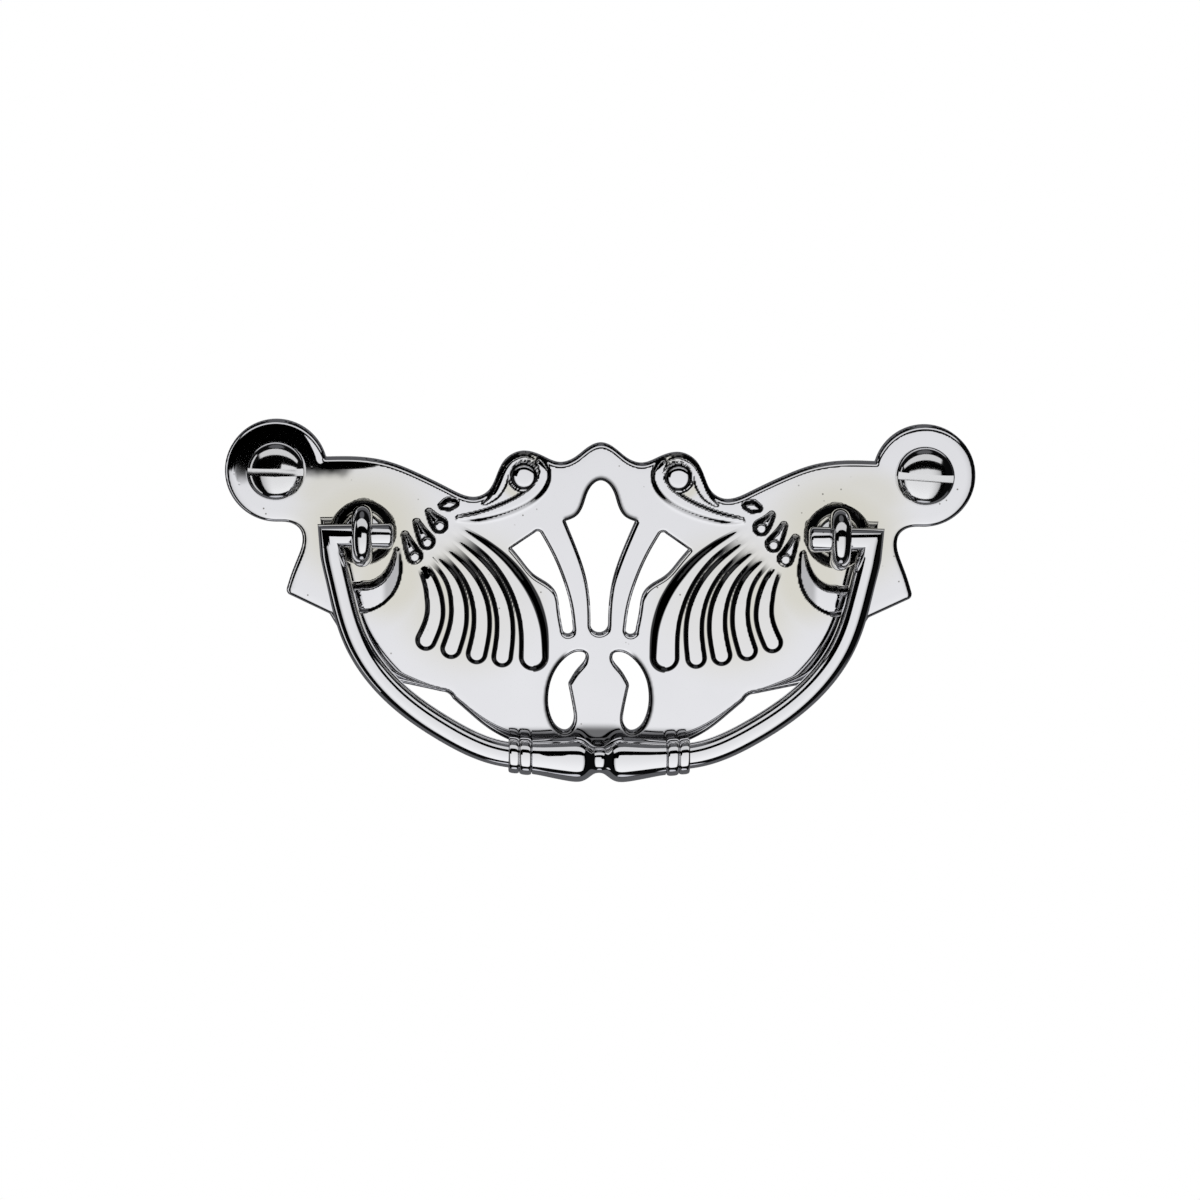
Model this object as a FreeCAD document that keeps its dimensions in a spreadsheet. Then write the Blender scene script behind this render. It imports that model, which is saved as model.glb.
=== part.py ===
import FreeCAD, Part
import math
import os

import Sketcher
from FreeCAD import Placement, Rotation, Vector

# A drop pull for a drawer: an openwork back plate, two ring eyes riveted through it, a bail that swings in
# the eyes, and two round-headed wood screws. Millimetres. The back of the plate lies in the plane Y = 0 and
# its front looks along -Y; +Z is up. The origin is midway between the two fixing holes.

# Driving dimensions: name, value, meaning
SIZES = [
    ("fixing_centres", 76.0, "between the two screw holes"),
    ("ear_radius", 6.0, "round ear about each screw hole"),
    ("plate_thickness", 2.0, "flat of the casting"),
    ("motif_grid", 1.0, "one square of the grid that the ornament is drawn on"),
    ("rib_height", 0.7, "fan ribs above the plate"),
    ("rib_draft", 32.0, "degrees that the ribs' flanks slant"),
    ("ridge_height", 0.6, "scroll ridges and crescents above the plate"),
    ("flank_height", 0.45, "ridge on the scroll's flank above the plate"),
    ("ridge_draft", 20.0, "degrees that the ridges' flanks slant"),
    ("bead_radius", 1.65, "domed bead in each scroll"),
    ("bead_height", 1.0, "its height above the plate"),
    ("screw_hole_diameter", 4.2, "clearance hole for the screw"),
    ("eye_centres", 55.6, "between the two ring eyes"),
    ("eye_drop", 7.1, "eyes below the fixing holes"),
    ("dish_radius", 3.9, "dished seat round each eye"),
    ("dish_depth", 0.6, "depth of the seat"),
    ("collar_diameter", 4.6, "shoulder of the eye on its seat"),
    ("shank_diameter", 3.0, "shank of the eye through the plate"),
    ("shank_clearance", 0.05, "round the shank and its riveted end"),
    ("rivet_spread", 0.9, "how far the riveted end widens"),
    ("rivet_recess", 0.15, "riveted end below the back face"),
    ("ring_diameter", 7.3, "outside of the ring"),
    ("ring_width", 2.4, "ring across, along the pin"),
    ("ring_bevel", 0.6, "bevels round the outside of the ring"),
    ("pin_standoff", 4.3, "pin axis in front of the plate"),
    ("pin_clearance", 0.08, "between the pin and its ring, all round"),
    ("rod_diameter", 3.0, "rod of the bail, pins too"),
    ("limb_gap", 1.0, "between each ring and the limb beside it"),
    ("pin_overhang", 2.4, "pin past the inner face of its ring"),
    ("pin_end_bevel", 0.5, "bevel round the pin's free end"),
    ("bail_drop", 26.1, "grip axis below the pin axis"),
    ("grip_waist_diameter", 3.2, "waist in the middle of the grip"),
    ("grip_mouth_diameter", 5.2, "widest part of each tulip"),
    ("grip_neck_diameter", 3.7, "narrow end of each tulip"),
    ("grip_mouth_offset", 2.5, "widest part from the middle"),
    ("grip_length", 7.9, "middle to the tulip's narrow end"),
    ("grip_bead_diameter", 4.2, "two beads beyond each tulip"),
    ("grip_bead_width", 1.3, "each bead"),
    ("screw_head_diameter", 7.0, "round head"),
    ("screw_head_height", 2.4, "head above the plate"),
    ("slot_width", 1.0, "driving slot"),
    ("slot_depth", 1.1, "driving slot"),
    ("left_slot_tilt", 0.0, "degrees that the left screw's slot leans clockwise"),
    ("right_slot_tilt", 3.5, "degrees that the right screw's slot leans clockwise"),
    ("screw_shank_diameter", 3.5, "plain shank under the head"),
    ("screw_shank_length", 5.0, "plain shank under the head"),
    ("screw_core_diameter", 2.5, "root of the thread"),
    ("screw_length", 16.0, "under the head to the tip"),
    ("screw_point_length", 4.0, "tapered point"),
]

# Outline of the right half of the plate, in squares of the ornament's grid
CREST = [(0, 3.55), (4.8, 1.2), (9.0, 2.5)]
SCROLL_BACK = [(9.0, 2.5), (12.2, -0.35), (14.9, -3.0)]
SHOULDER = [(14.9, -3.0), (21.2, -0.35)]
TAIL_EDGE = [(31.7, -16.8), (27.9, -22.1), (22.4, -25.1)]
TAIL_EDGE_END = (18.4, -25.95)
HIP = [(18.4, -25.95), (17.8, -26.1), (17.2, -26.75)]
FOOT = [(17.2, -26.75), (11.0, -31.4), (0, -33.2)]

# Neck and tail below the ear, measured from the ear's centre
NOTCH_ANGLE = 164.5
EAR_END_ANGLE = -92
NECK = [(-3.1, -8.1), (-1.27, -13.8)]
TAIL_CORNER = [(-1.27, -13.8), (-1.32, -14.3), (-1.75, -14.65)]

# Openwork, right half
MIDDLE_TOP = [(0, -0.5), (2.35, -3.7), (4.5, -5.35)]
MIDDLE_SIDE = [(4.5, -5.35), (2.05, -11.6), (1.35, -17.9)]
MIDDLE_FOOT = [(1.35, -17.9), (0.95, -18.86), (0, -19.25)]
SIDE_TOP = [(10.85, -8.85), (7.75, -6.75)]
SIDE_CORNER = [(7.75, -6.75), (7.2, -6.55), (6.8, -6.9)]
SIDE_INNER = [(6.8, -6.9), (4.1, -12.4), (2.82, -18.3)]
SIDE_FOOT = [(2.82, -18.3), (3.7, -19.35), (4.6, -18.4)]
SIDE_OUTER = [(4.6, -18.4), (5.45, -14.2), (7.9, -12.3), (10.85, -8.85)]
KIDNEY_INNER = [(2.72, -27.5), (3.26, -25.0), (1.35, -21.85)]
KIDNEY_HEAD = [(1.35, -21.85), (1.62, -21.05), (2.42, -20.82)]
KIDNEY_OUTER = [(2.42, -20.82), (5.55, -23.4), (5.8, -28.9)]
KIDNEY_TAIL = [(5.8, -28.9), (4.3, -30.6), (2.78, -29.7)]

# Fan ribs: the foot and the middle on the grid, the upper end measured from the eye's centre
RIB_WIDTHS = [1.3, 1.1, 0.65]
INNER_RIB_WIDTHS = [1.75, 1.5, 0.7]
RIBS = [
    ([(20.35, -19.75), (19.4, -14.9)], (-7.0, -4.0), RIB_WIDTHS),
    ([(17.4, -20.7), (16.75, -14.9)], (-8.1, -2.85), RIB_WIDTHS),
    ([(14.4, -21.3), (14.25, -14.9)], (-9.1, -1.85), RIB_WIDTHS),
    ([(11.4, -21.65), (11.85, -14.9)], (-10.1, -0.65), RIB_WIDTHS),
    ([(7.75, -21.6), (9.2, -14.3)], (-10.9, 0.4), INNER_RIB_WIDTHS),
]

# Teardrops and the crescent round the eye, from its centre; the teardrops start at their round, wide end
TEARDROP_WIDTHS = [0.85, 0.7, 0.5]
TEARDROPS = [
    ([(-6.05, -2.75), (-5.45, -1.65), (-4.95, -0.35)], TEARDROP_WIDTHS),
    ([(-7.5, -1.05), (-6.85, -0.05), (-6.3, 1.15)], TEARDROP_WIDTHS),
    ([(-8.95, 0.9), (-8.3, 1.55), (-7.75, 2.35)], TEARDROP_WIDTHS),
    ([(-10.7, 3.45), (-10.0, 3.35), (-9.3, 3.15)], [0.55, 0.5, 0.45]),
]
CRESCENT = ([(-4.05, -2.2), (-1.8, -7.25), (3.7, -5.8)], [0.4, 1.6, 0.45])

# Lower ridge of the scroll and the ridge that climbs its flank
SCROLL_RIDGE = ([(6.7, 0.2), (10.6, -4.1), (16.3, -5.35)], [0.8, 0.65, 0.45])
FLANK_RIDGE = ([(10.5, 1.2), (11.7, -1.6), (13.8, -3.95)], [0.45, 0.45, 0.45])
BEAD_CENTRE = (9.05, -0.6)

# Limb of the bail: shares of its half width and of its drop, and the slopes it starts and ends with
LIMB = [(0.777, 0.7), (0.285, 1.0)]
LIMB_START_SLOPE = 0.04
LIMB_END_SLOPE = 0.16

# Shares of the turned forms
WAIST_SHARE = 0.3
BEAD_BEVEL = 0.28
POST_NECK = 0.9


doc = FreeCAD.newDocument("DropPull")
sheet = doc.addObject("Spreadsheet::Sheet", "Sizes")
for row, (alias, value, meaning) in enumerate(SIZES, start=1):
    sheet.set(f"A{row}", alias)
    sheet.set(f"B{row}", str(value))
    sheet.set(f"C{row}", meaning)
    sheet.setAlias(f"B{row}", alias)
doc.recompute()


def size(alias):
    return float(sheet.get(alias))


GRID = size("motif_grid")

# Distance under which two places count as the same, and the radius in millimetres of an arc that is a line
TOUCH = 1e-4
FLAT_ARC = 2000


def on_grid(points):
    return [Vector(x * GRID, z * GRID, 0) for x, z in points]


# Sketching

def directions_along(points, start=None, end=None):
    """Unit directions of a smooth curve at the points, with its first and last where they matter."""
    spline = Part.BSplineCurve()
    if start is None and end is None:
        spline.interpolate(points)
    else:
        wanted = [start or Vector(0, 0, 0)] + [Vector(0, 0, 0)] * (len(points) - 2) + [end or Vector(0, 0, 0)]
        known = [start is not None] + [False] * (len(points) - 2) + [end is not None]
        spline.interpolate(Points=points, Tangents=wanted, TangentFlags=known)
    found = [spline.tangent(spline.parameter(point))[0] for point in points]
    for place, direction in ((0, start), (-1, end)):
        if direction is not None:
            found[place] = Vector(direction).normalize()
    return found


def arc(points):
    return Part.ArcOfCircle(*points)


def line(first, second):
    return Part.LineSegment(first, second)


def arc_leaving(first, ahead, second):
    """The arc from one point to another that sets off in a known direction, or a line where it is flat."""
    chord = second - first
    aside = Vector(-ahead.y, ahead.x, 0)
    lean = 2 * chord.dot(aside)
    if abs(lean) * FLAT_ARC < chord.dot(chord):
        return line(first, second)
    radius = chord.dot(chord) / lean
    centre = first + aside * radius
    middle = (first + second) * 0.5 - centre
    return arc([first, centre + middle.normalize() * abs(radius), second])


def curve(points, start=None, end=None):
    """Tangent arcs through the points, two between each point and the next."""
    pieces = []
    along = directions_along(points, start, end)
    for first, second, ahead, after in zip(points, points[1:], along, along[1:]):
        chord = second - first
        turn = 2 * (1 - ahead.dot(after))
        reach = chord.dot(ahead + after)
        if turn > TOUCH:
            step = (math.sqrt(reach * reach + turn * chord.dot(chord)) - reach) / turn
        else:
            step = chord.dot(chord) / (2 * reach)
        joint = (first + ahead * step + second - after * step) * 0.5
        pieces.append(arc_leaving(first, ahead, joint))
        pieces.append(arc_leaving(joint, (joint - first - ahead * step).normalize(), second))
    return pieces


def origin_plane(body, role):
    return next(item for item in body.Origin.OriginFeatures if item.Role == role)


def new_sketch(body, name, plane_role, offsets=None):
    """A sketch on one of the body's own planes, moved off it by named sizes."""
    sketch = body.newObject("Sketcher::SketchObject", name)
    sketch.AttachmentSupport = [(origin_plane(body, plane_role), "")]
    sketch.MapMode = "FlatFace"
    for direction, formula in (offsets or {}).items():
        sketch.setExpression(f"AttachmentOffset.Base.{direction}", formula)
    return sketch


def bound(sketch, kind, reference, formula):
    """A driving dimension of a sketch that follows the sheet."""
    number = sketch.addConstraint(Sketcher.Constraint(kind, *reference))
    sketch.setExpression(f"Constraints[{number}]", formula)


def bound_round(sketch, index, centre, radius, radius_formula, across_formula):
    """Ties a circle's or an arc's radius and its distance from the centre line to the sheet."""
    bound(sketch, "Radius", (index, radius), radius_formula)
    bound(sketch, "DistanceX", (-1, 1, index, 3, centre.x), across_formula)


def circle(sketch, centre, radius, radius_formula, across_formula):
    index = sketch.addGeometry(Part.Circle(centre, Vector(0, 0, 1), radius), False)
    bound_round(sketch, index, centre, radius, radius_formula, across_formula)


def chain(points):
    """Straight sides from each point to the next."""
    return [line(first, second) for first, second in zip(points, points[1:])]


def polygon(points):
    return chain(points + points[:1])


def ribbon(points, half_widths):
    """A closed outline about the arc through three points, with its half width at each. Its first end is
    round and its last one square."""
    middle = arc(points)
    along = [middle.tangent(middle.parameter(point))[0] for point in points]
    left = []
    right = []
    for point, half, ahead in zip(points, half_widths, along):
        side = Vector(-ahead.y, ahead.x, 0)
        left.append(point + side * half)
        right.append(point - side * half)
    tip = points[0] - along[0] * half_widths[0]
    return [arc(left), line(left[-1], right[-1]), arc(right[::-1]), arc([right[0], tip, left[0]])]


# Features

def pad(body, sketch, name, height_alias, draft_alias=None):
    """A pad of a named height, its sides slanting inwards by a named draft if there is one."""
    feature = body.newObject("PartDesign::Pad", name)
    feature.Profile = sketch
    feature.setExpression("Length", f"Sizes.{height_alias}")
    if draft_alias:
        feature.setExpression("TaperAngle", f"-Sizes.{draft_alias}")
    body.Tip = feature
    doc.recompute()


def pocket(body, sketch, name, formula=None):
    """A pocket as deep as the formula says, away from the front, or else right through from the back."""
    before = body.Shape.Volume
    feature = body.newObject("PartDesign::Pocket", name)
    feature.Profile = sketch
    if formula is None:
        feature.Type = "ThroughAll"
        feature.Reversed = True
    else:
        feature.setExpression("Length", formula)
    body.Tip = feature
    doc.recompute()
    if feature.Shape.Volume >= before:
        raise RuntimeError(f"{name} cuts nothing")


def turned(body, sketch, name, kind, axis):
    feature = body.newObject(f"PartDesign::{kind}", name)
    feature.Profile = sketch
    feature.ReferenceAxis = (sketch, [axis])
    feature.Angle = 360
    body.Tip = feature
    doc.recompute()


def bevel(body, name, edges, formula):
    """A chamfer along the last feature's edges."""
    sharp = body.Tip
    feature = body.newObject("PartDesign::Chamfer", name)
    feature.Base = (sharp, edges)
    feature.setExpression("Size", formula)
    body.Tip = feature
    doc.recompute()


def chosen_edges(feature, wanted):
    """Names of the feature's edges whose box the function accepts."""
    numbered = enumerate(feature.Shape.Edges, start=1)
    return [f"Edge{number}" for number, edge in numbered if wanted(edge.BoundBox)]


def mirror(body):
    """Repeats the modelled right half on the left."""
    feature = body.newObject("PartDesign::Mirrored", f"{body.Name}Halves")
    feature.TransformMode = "Whole shape"
    feature.MirrorPlane = (origin_plane(body, "YZ_Plane"), [""])
    body.Tip = feature
    doc.recompute()


# Back plate

def plate_outline():
    ear_x = size("fixing_centres") / 2
    ear = size("ear_radius")

    def on_ear(degrees):
        angle = math.radians(degrees)
        return Vector(ear_x + ear * math.cos(angle), ear * math.sin(angle), 0)

    def from_ear(points):
        return [Vector(ear_x + x * GRID, z * GRID, 0) for x, z in points]

    shoulder = on_grid(SHOULDER) + [on_ear(NOTCH_ANGLE)]
    neck = [on_ear(EAR_END_ANGLE)] + from_ear(NECK)
    corner = from_ear(TAIL_CORNER)
    tail = on_grid(TAIL_EDGE)
    tail_end = on_grid([TAIL_EDGE_END])[0]
    foot = on_grid(FOOT)
    crest = on_grid(CREST)
    level = Vector(1, 0, 0)
    scroll_back = curve(on_grid(SCROLL_BACK), level, level)
    before_ear = curve(crest, level, level) + scroll_back + curve(shoulder, level)
    round_ear = arc([on_ear(NOTCH_ANGLE), on_ear(0), on_ear(EAR_END_ANGLE)])
    flank = curve(neck, -level) + [arc(corner), line(corner[-1], tail[0]), arc(tail)]
    under = [line(tail[-1], tail_end), arc(on_grid(HIP))] + curve(foot, None, -level)
    return before_ear + [round_ear] + flank + under + [line(foot[-1], crest[0])], len(before_ear)


def middle_opening():
    top = on_grid(MIDDLE_TOP)
    foot = on_grid(MIDDLE_FOOT)
    return curve(top, Vector(1, 0, 0)) + [arc(on_grid(MIDDLE_SIDE)), arc(foot), line(foot[-1], top[0])]


def side_opening():
    top = line(*on_grid(SIDE_TOP))
    round_parts = [arc(on_grid(points)) for points in (SIDE_CORNER, SIDE_INNER, SIDE_FOOT)]
    return [top] + round_parts + curve(on_grid(SIDE_OUTER))


def kidney_opening():
    sides = curve(on_grid(KIDNEY_INNER)) + [arc(on_grid(KIDNEY_HEAD))] + curve(on_grid(KIDNEY_OUTER))
    return sides + [arc(on_grid(KIDNEY_TAIL)), line(*on_grid([KIDNEY_TAIL[-1], KIDNEY_INNER[0]]))]


def from_eye(points):
    """Places on the ornament's grid when it is laid on the right eye's centre."""
    eye = Vector(size("eye_centres") / 2, -size("eye_drop"), 0)
    return [eye + point for point in on_grid(points)]


def raised(body, name, ribbons, height_alias, draft_alias=None):
    """Ridges on the front of the plate, each with slanting flanks if there is a draft."""
    for number, (points, half_widths) in enumerate(ribbons, start=1):
        sketch = new_sketch(body, f"{name}{number}Outline", "XZ_Plane", {"z": "Sizes.plate_thickness"})
        sketch.addGeometry(ribbon(points, [half * GRID for half in half_widths]), False)
        pad(body, sketch, f"{name}{number}", height_alias, draft_alias)


def back_plate():
    body = doc.addObject("PartDesign::Body", "BackPlate")
    body.Label = "back_plate"
    outline = new_sketch(body, "PlateOutline", "XZ_Plane")
    pieces, ear = plate_outline()
    outline.addGeometry(pieces, False)
    ear_centre = Vector(size("fixing_centres") / 2, 0, 0)
    bound_round(outline, ear, ear_centre, size("ear_radius"), "Sizes.ear_radius", "Sizes.fixing_centres / 2")
    pad(body, outline, "Plate", "plate_thickness")

    openings = new_sketch(body, "Openings", "XZ_Plane")
    for opening in (middle_opening(), side_opening(), kidney_opening()):
        openings.addGeometry(opening, False)
    pocket(body, openings, "Openwork")

    ribs = [(on_grid(lower) + from_eye([tip]), half_widths) for lower, tip, half_widths in RIBS]
    teardrops = [(from_eye(points), half_widths) for points, half_widths in TEARDROPS]
    raised(body, "Rib", ribs, "rib_height", "rib_draft")
    raised(body, "Teardrop", teardrops, "ridge_height", "ridge_draft")
    raised(body, "Crescent", [(from_eye(CRESCENT[0]), CRESCENT[1])], "ridge_height")
    flank_ridge = [(on_grid(FLANK_RIDGE[0]), FLANK_RIDGE[1])]
    scroll_ridge = [(on_grid(SCROLL_RIDGE[0]), SCROLL_RIDGE[1])]
    raised(body, "FlankRidge", flank_ridge, "flank_height", "ridge_draft")
    raised(body, "ScrollRidge", scroll_ridge, "ridge_height", "ridge_draft")

    bead = new_sketch(body, "BeadProfile", "YZ_Plane")
    bead_x, bead_z = (step * GRID for step in BEAD_CENTRE)
    bead.AttachmentOffset = Placement(Vector(0, bead_z, bead_x), Rotation())
    bead.addGeometry(bead_profile(), False)
    turned(body, bead, "Bead", "Revolution", "H_Axis")

    eye_place = {"z": "Sizes.eye_centres / 2", "y": "-Sizes.eye_drop"}
    seat = new_sketch(body, "EyeSeatProfile", "YZ_Plane", eye_place)
    seat.addGeometry(eye_seat_profile(), False)
    turned(body, seat, "EyeSeat", "Groove", "H_Axis")

    hole = new_sketch(body, "ScrewHoleOutline", "XZ_Plane")
    bore = size("screw_hole_diameter") / 2
    circle(hole, ear_centre, bore, "Sizes.screw_hole_diameter / 2", "Sizes.fixing_centres / 2")
    pocket(body, hole, "ScrewHole")
    mirror(body)


def bead_profile():
    """Half of the domed bead, from the middle of the plate to its crown."""
    root = -size("plate_thickness") / 2
    front = -size("plate_thickness")
    crown = front - size("bead_height")
    radius = size("bead_radius")
    corners = [Vector(crown, 0, 0), Vector(root, 0, 0), Vector(root, radius, 0), Vector(front, radius, 0)]
    return [arc_leaving(corners[0], Vector(0, 1, 0), corners[-1])] + chain(corners)


def eye_seat_profile():
    """Half section of the dished seat, the bore for the shank and the countersink for its riveted end."""
    front = -size("plate_thickness")
    floor = front + size("dish_depth")
    bore = size("shank_diameter") / 2 + size("shank_clearance")
    mouth = bore + size("rivet_spread")
    flat = size("collar_diameter") / 2 + size("shank_clearance")
    return polygon([
        Vector(front, 0, 0),
        Vector(0, 0, 0),
        Vector(0, mouth, 0),
        Vector(-size("rivet_spread"), bore, 0),
        Vector(floor, bore, 0),
        Vector(floor, flat, 0),
        Vector(front, size("dish_radius"), 0),
    ])


# Ring eyes

def ring_section():
    """Section of the ring above its axis: flat sides and a bevelled outside."""
    bore = size("rod_diameter") / 2 + size("pin_clearance")
    outer = size("ring_diameter") / 2
    half = size("ring_width") / 2
    cut = size("ring_bevel")
    return polygon([
        Vector(half, bore, 0),
        Vector(half, outer - cut, 0),
        Vector(half - cut, outer, 0),
        Vector(cut - half, outer, 0),
        Vector(-half, outer - cut, 0),
        Vector(-half, bore, 0),
    ])


def post_profile():
    """Half section of the neck, shoulder, shank and riveted end, out from the ring's middle line."""
    bore = size("rod_diameter") / 2 + size("pin_clearance")
    inside_ring = (bore + size("ring_diameter") / 2) / 2
    neck = POST_NECK * size("ring_width") / 2
    collar = size("collar_diameter") / 2
    shank = size("shank_diameter") / 2
    seat = size("pin_standoff") + size("dish_depth")
    back = size("pin_standoff") + size("plate_thickness")
    end = back - size("rivet_recess")
    spread = shank + size("rivet_spread") - size("rivet_recess")
    shoulder = seat - size("dish_depth") / 2
    return polygon([
        Vector(0, inside_ring, 0),
        Vector(neck, inside_ring, 0),
        Vector(collar, shoulder, 0),
        Vector(collar, seat, 0),
        Vector(shank, seat, 0),
        Vector(shank, back - size("rivet_spread"), 0),
        Vector(spread, end, 0),
        Vector(0, end, 0),
    ])


def eye_post(side, sign):
    """A ring on a shank: the ring's own centre is the body's origin, with the pin's axis along X."""
    body = doc.addObject("PartDesign::Body", f"{side}EyePost")
    body.Label = f"{side.lower()}_eye_post"
    section = new_sketch(body, f"{side}RingSection", "XY_Plane")
    section.addGeometry(ring_section(), False)
    turned(body, section, f"{side}Ring", "Revolution", "H_Axis")
    profile = new_sketch(body, f"{side}PostProfile", "XY_Plane")
    profile.addGeometry(post_profile(), False)
    turned(body, profile, f"{side}Post", "Revolution", "V_Axis")
    body.setExpression("Placement.Base.x", f"{sign} * Sizes.eye_centres / 2")
    body.setExpression("Placement.Base.y", "-Sizes.plate_thickness - Sizes.pin_standoff")
    body.setExpression("Placement.Base.z", "-Sizes.eye_drop")


# Bail

def pin_end():
    """Distance of each pin's free end from the middle of the bail."""
    return size("eye_centres") / 2 - size("ring_width") / 2 - size("pin_overhang")


def bail_path():
    """Middle line of the rod: the pin, a square corner with a straight stretch, and the limb to the grip."""
    half = (size("eye_centres") + size("ring_width") + size("rod_diameter")) / 2 + size("limb_gap")
    drop = size("bail_drop")
    corner = Vector(half, 0, 0)
    down = Vector(-LIMB_START_SLOPE, -1, 0).normalize()
    shaped = [Vector(across * half, -fall * drop, 0) for across, fall in LIMB]
    limb = [corner + down * size("rod_diameter")] + shaped
    straight = [line(Vector(pin_end(), 0, 0), corner), line(corner, limb[0])]
    return straight + curve(limb, down, Vector(-1, -LIMB_END_SLOPE, 0))


def grip_profile():
    """Half section of half the grip: waist, tulip and two beads, along the grip's own axis."""
    waist = size("grip_waist_diameter") / 2
    mouth = size("grip_mouth_diameter") / 2
    neck = size("grip_neck_diameter") / 2
    bead = size("grip_bead_diameter") / 2
    lip = size("grip_mouth_offset")
    length = size("grip_length")
    width = size("grip_bead_width")
    level = Vector(1, 0, 0)
    waist_end = Vector(WAIST_SHARE * lip, waist, 0)
    corners = [Vector(0, 0, 0), Vector(0, waist, 0), waist_end, Vector(lip, mouth, 0)]
    beads = [Vector(length, neck, 0)]
    for start in (length, length + width):
        beads.append(Vector(start + BEAD_BEVEL * width, bead, 0))
        beads.append(Vector(start + (1 - BEAD_BEVEL) * width, bead, 0))
        beads.append(Vector(start + width, neck, 0))
    end = Vector(beads[-1].x, 0, 0)
    tulip = arc_leaving(corners[-1], level, beads[0])
    return chain(corners) + [tulip] + chain(beads + [end, corners[0]])


def bail_handle():
    """The bail hangs from the middle of its pins' axis, which is the body's origin."""
    body = doc.addObject("PartDesign::Body", "BailHandle")
    body.Label = "bail_handle"
    path = new_sketch(body, "RodPath", "XZ_Plane")
    path.addGeometry(bail_path(), False)
    free_end = "Sizes.eye_centres / 2 - Sizes.ring_width / 2 - Sizes.pin_overhang"
    section = new_sketch(body, "RodSection", "YZ_Plane", {"z": free_end})
    radius = size("rod_diameter") / 2
    rim = section.addGeometry(Part.Circle(Vector(0, 0, 0), Vector(0, 0, 1), radius), False)
    bound(section, "Radius", (rim, radius), "Sizes.rod_diameter / 2")
    rod = body.newObject("PartDesign::AdditivePipe", "Rod")
    rod.Profile = section
    rod.Spine = path
    rod.Transition = "Right corner"
    doc.recompute()

    def free_rim(box):
        return abs(box.XMin - pin_end()) < TOUCH and abs(box.XMax - pin_end()) < TOUCH

    bevel(body, "PinEnd", chosen_edges(rod, free_rim), "Sizes.pin_end_bevel")

    profile = new_sketch(body, "GripProfile", "XZ_Plane", {"y": "-Sizes.bail_drop"})
    profile.addGeometry(grip_profile(), False)
    turned(body, profile, "Grip", "Revolution", "H_Axis")
    mirror(body)
    body.setExpression("Placement.Base.y", "-Sizes.plate_thickness - Sizes.pin_standoff")
    body.setExpression("Placement.Base.z", "-Sizes.eye_drop")


# Fixing screws

def screw_profile():
    """Half section of a round-headed wood screw: the underside of the head is at 0, the tip along +Y."""
    head = size("screw_head_diameter") / 2
    crown = -size("screw_head_height")
    shank = size("screw_shank_diameter") / 2
    core = size("screw_core_diameter") / 2
    shank_end = size("screw_shank_length")
    tip = size("screw_length")
    dome = arc_leaving(Vector(0, crown, 0), Vector(1, 0, 0), Vector(head, 0, 0))
    corners = [
        Vector(head, 0, 0),
        Vector(shank, 0, 0),
        Vector(shank, shank_end, 0),
        Vector(core, shank_end + shank - core, 0),
        Vector(core, tip - size("screw_point_length"), 0),
        Vector(0, tip, 0),
        Vector(0, crown, 0),
    ]
    return [dome] + chain(corners)


def fixing_screw(side, sign, tilt_formula):
    """A screw with its slot leaning clockwise, as seen from the front, by the formula's angle."""
    body = doc.addObject("PartDesign::Body", f"{side}Screw")
    body.Label = f"{side.lower()}_fixing_screw"
    profile = new_sketch(body, f"{side}ScrewProfile", "XY_Plane")
    profile.addGeometry(screw_profile(), False)
    turned(body, profile, f"{side}ScrewTurned", "Revolution", "V_Axis")
    slot = new_sketch(body, f"{side}SlotOutline", "XZ_Plane", {"z": "Sizes.screw_head_height"})
    across = size("screw_head_diameter")
    half = size("slot_width") / 2
    slot.addGeometry(polygon([
        Vector(-across, -half, 0),
        Vector(across, -half, 0),
        Vector(across, half, 0),
        Vector(-across, half, 0),
    ]), False)
    pocket(body, slot, f"{side}Slot", "Sizes.slot_depth")
    body.Placement = Placement(Vector(0, 0, 0), Rotation(Vector(0, 1, 0), 1))
    body.setExpression("Placement.Rotation.Angle", tilt_formula)
    body.setExpression("Placement.Base.x", f"{sign} * Sizes.fixing_centres / 2")
    body.setExpression("Placement.Base.y", "-Sizes.plate_thickness")


# Assembly

back_plate()
bail_handle()
eye_post("Left", -1)
eye_post("Right", 1)
fixing_screw("Left", -1, "Sizes.left_slot_tilt")
fixing_screw("Right", 1, "Sizes.right_slot_tilt")
doc.recompute()

for item in doc.Objects:
    if "Invalid" in item.State or "Error" in item.State:
        raise RuntimeError(f"{item.Name} failed: {item.getStatusString()}")

pieces = [item for item in doc.Objects if item.TypeId == "PartDesign::Body"]
for piece in pieces:
    if piece.Shape.isNull() or not piece.Shape.isValid() or len(piece.Shape.Solids) != 1:
        raise RuntimeError(f"{piece.Label} is not one sound solid")

os.makedirs("parts", exist_ok=True)
for piece in pieces:
    piece.Shape.exportStep(f"parts/{piece.Label}.step")
    print(f"{piece.Label}: {piece.Shape.Volume:.1f} cubic mm")
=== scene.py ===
import math

import bpy
import numpy as np
from mathutils import Matrix, Vector, kdtree
from mathutils.geometry import delaunay_2d_cdt


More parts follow.
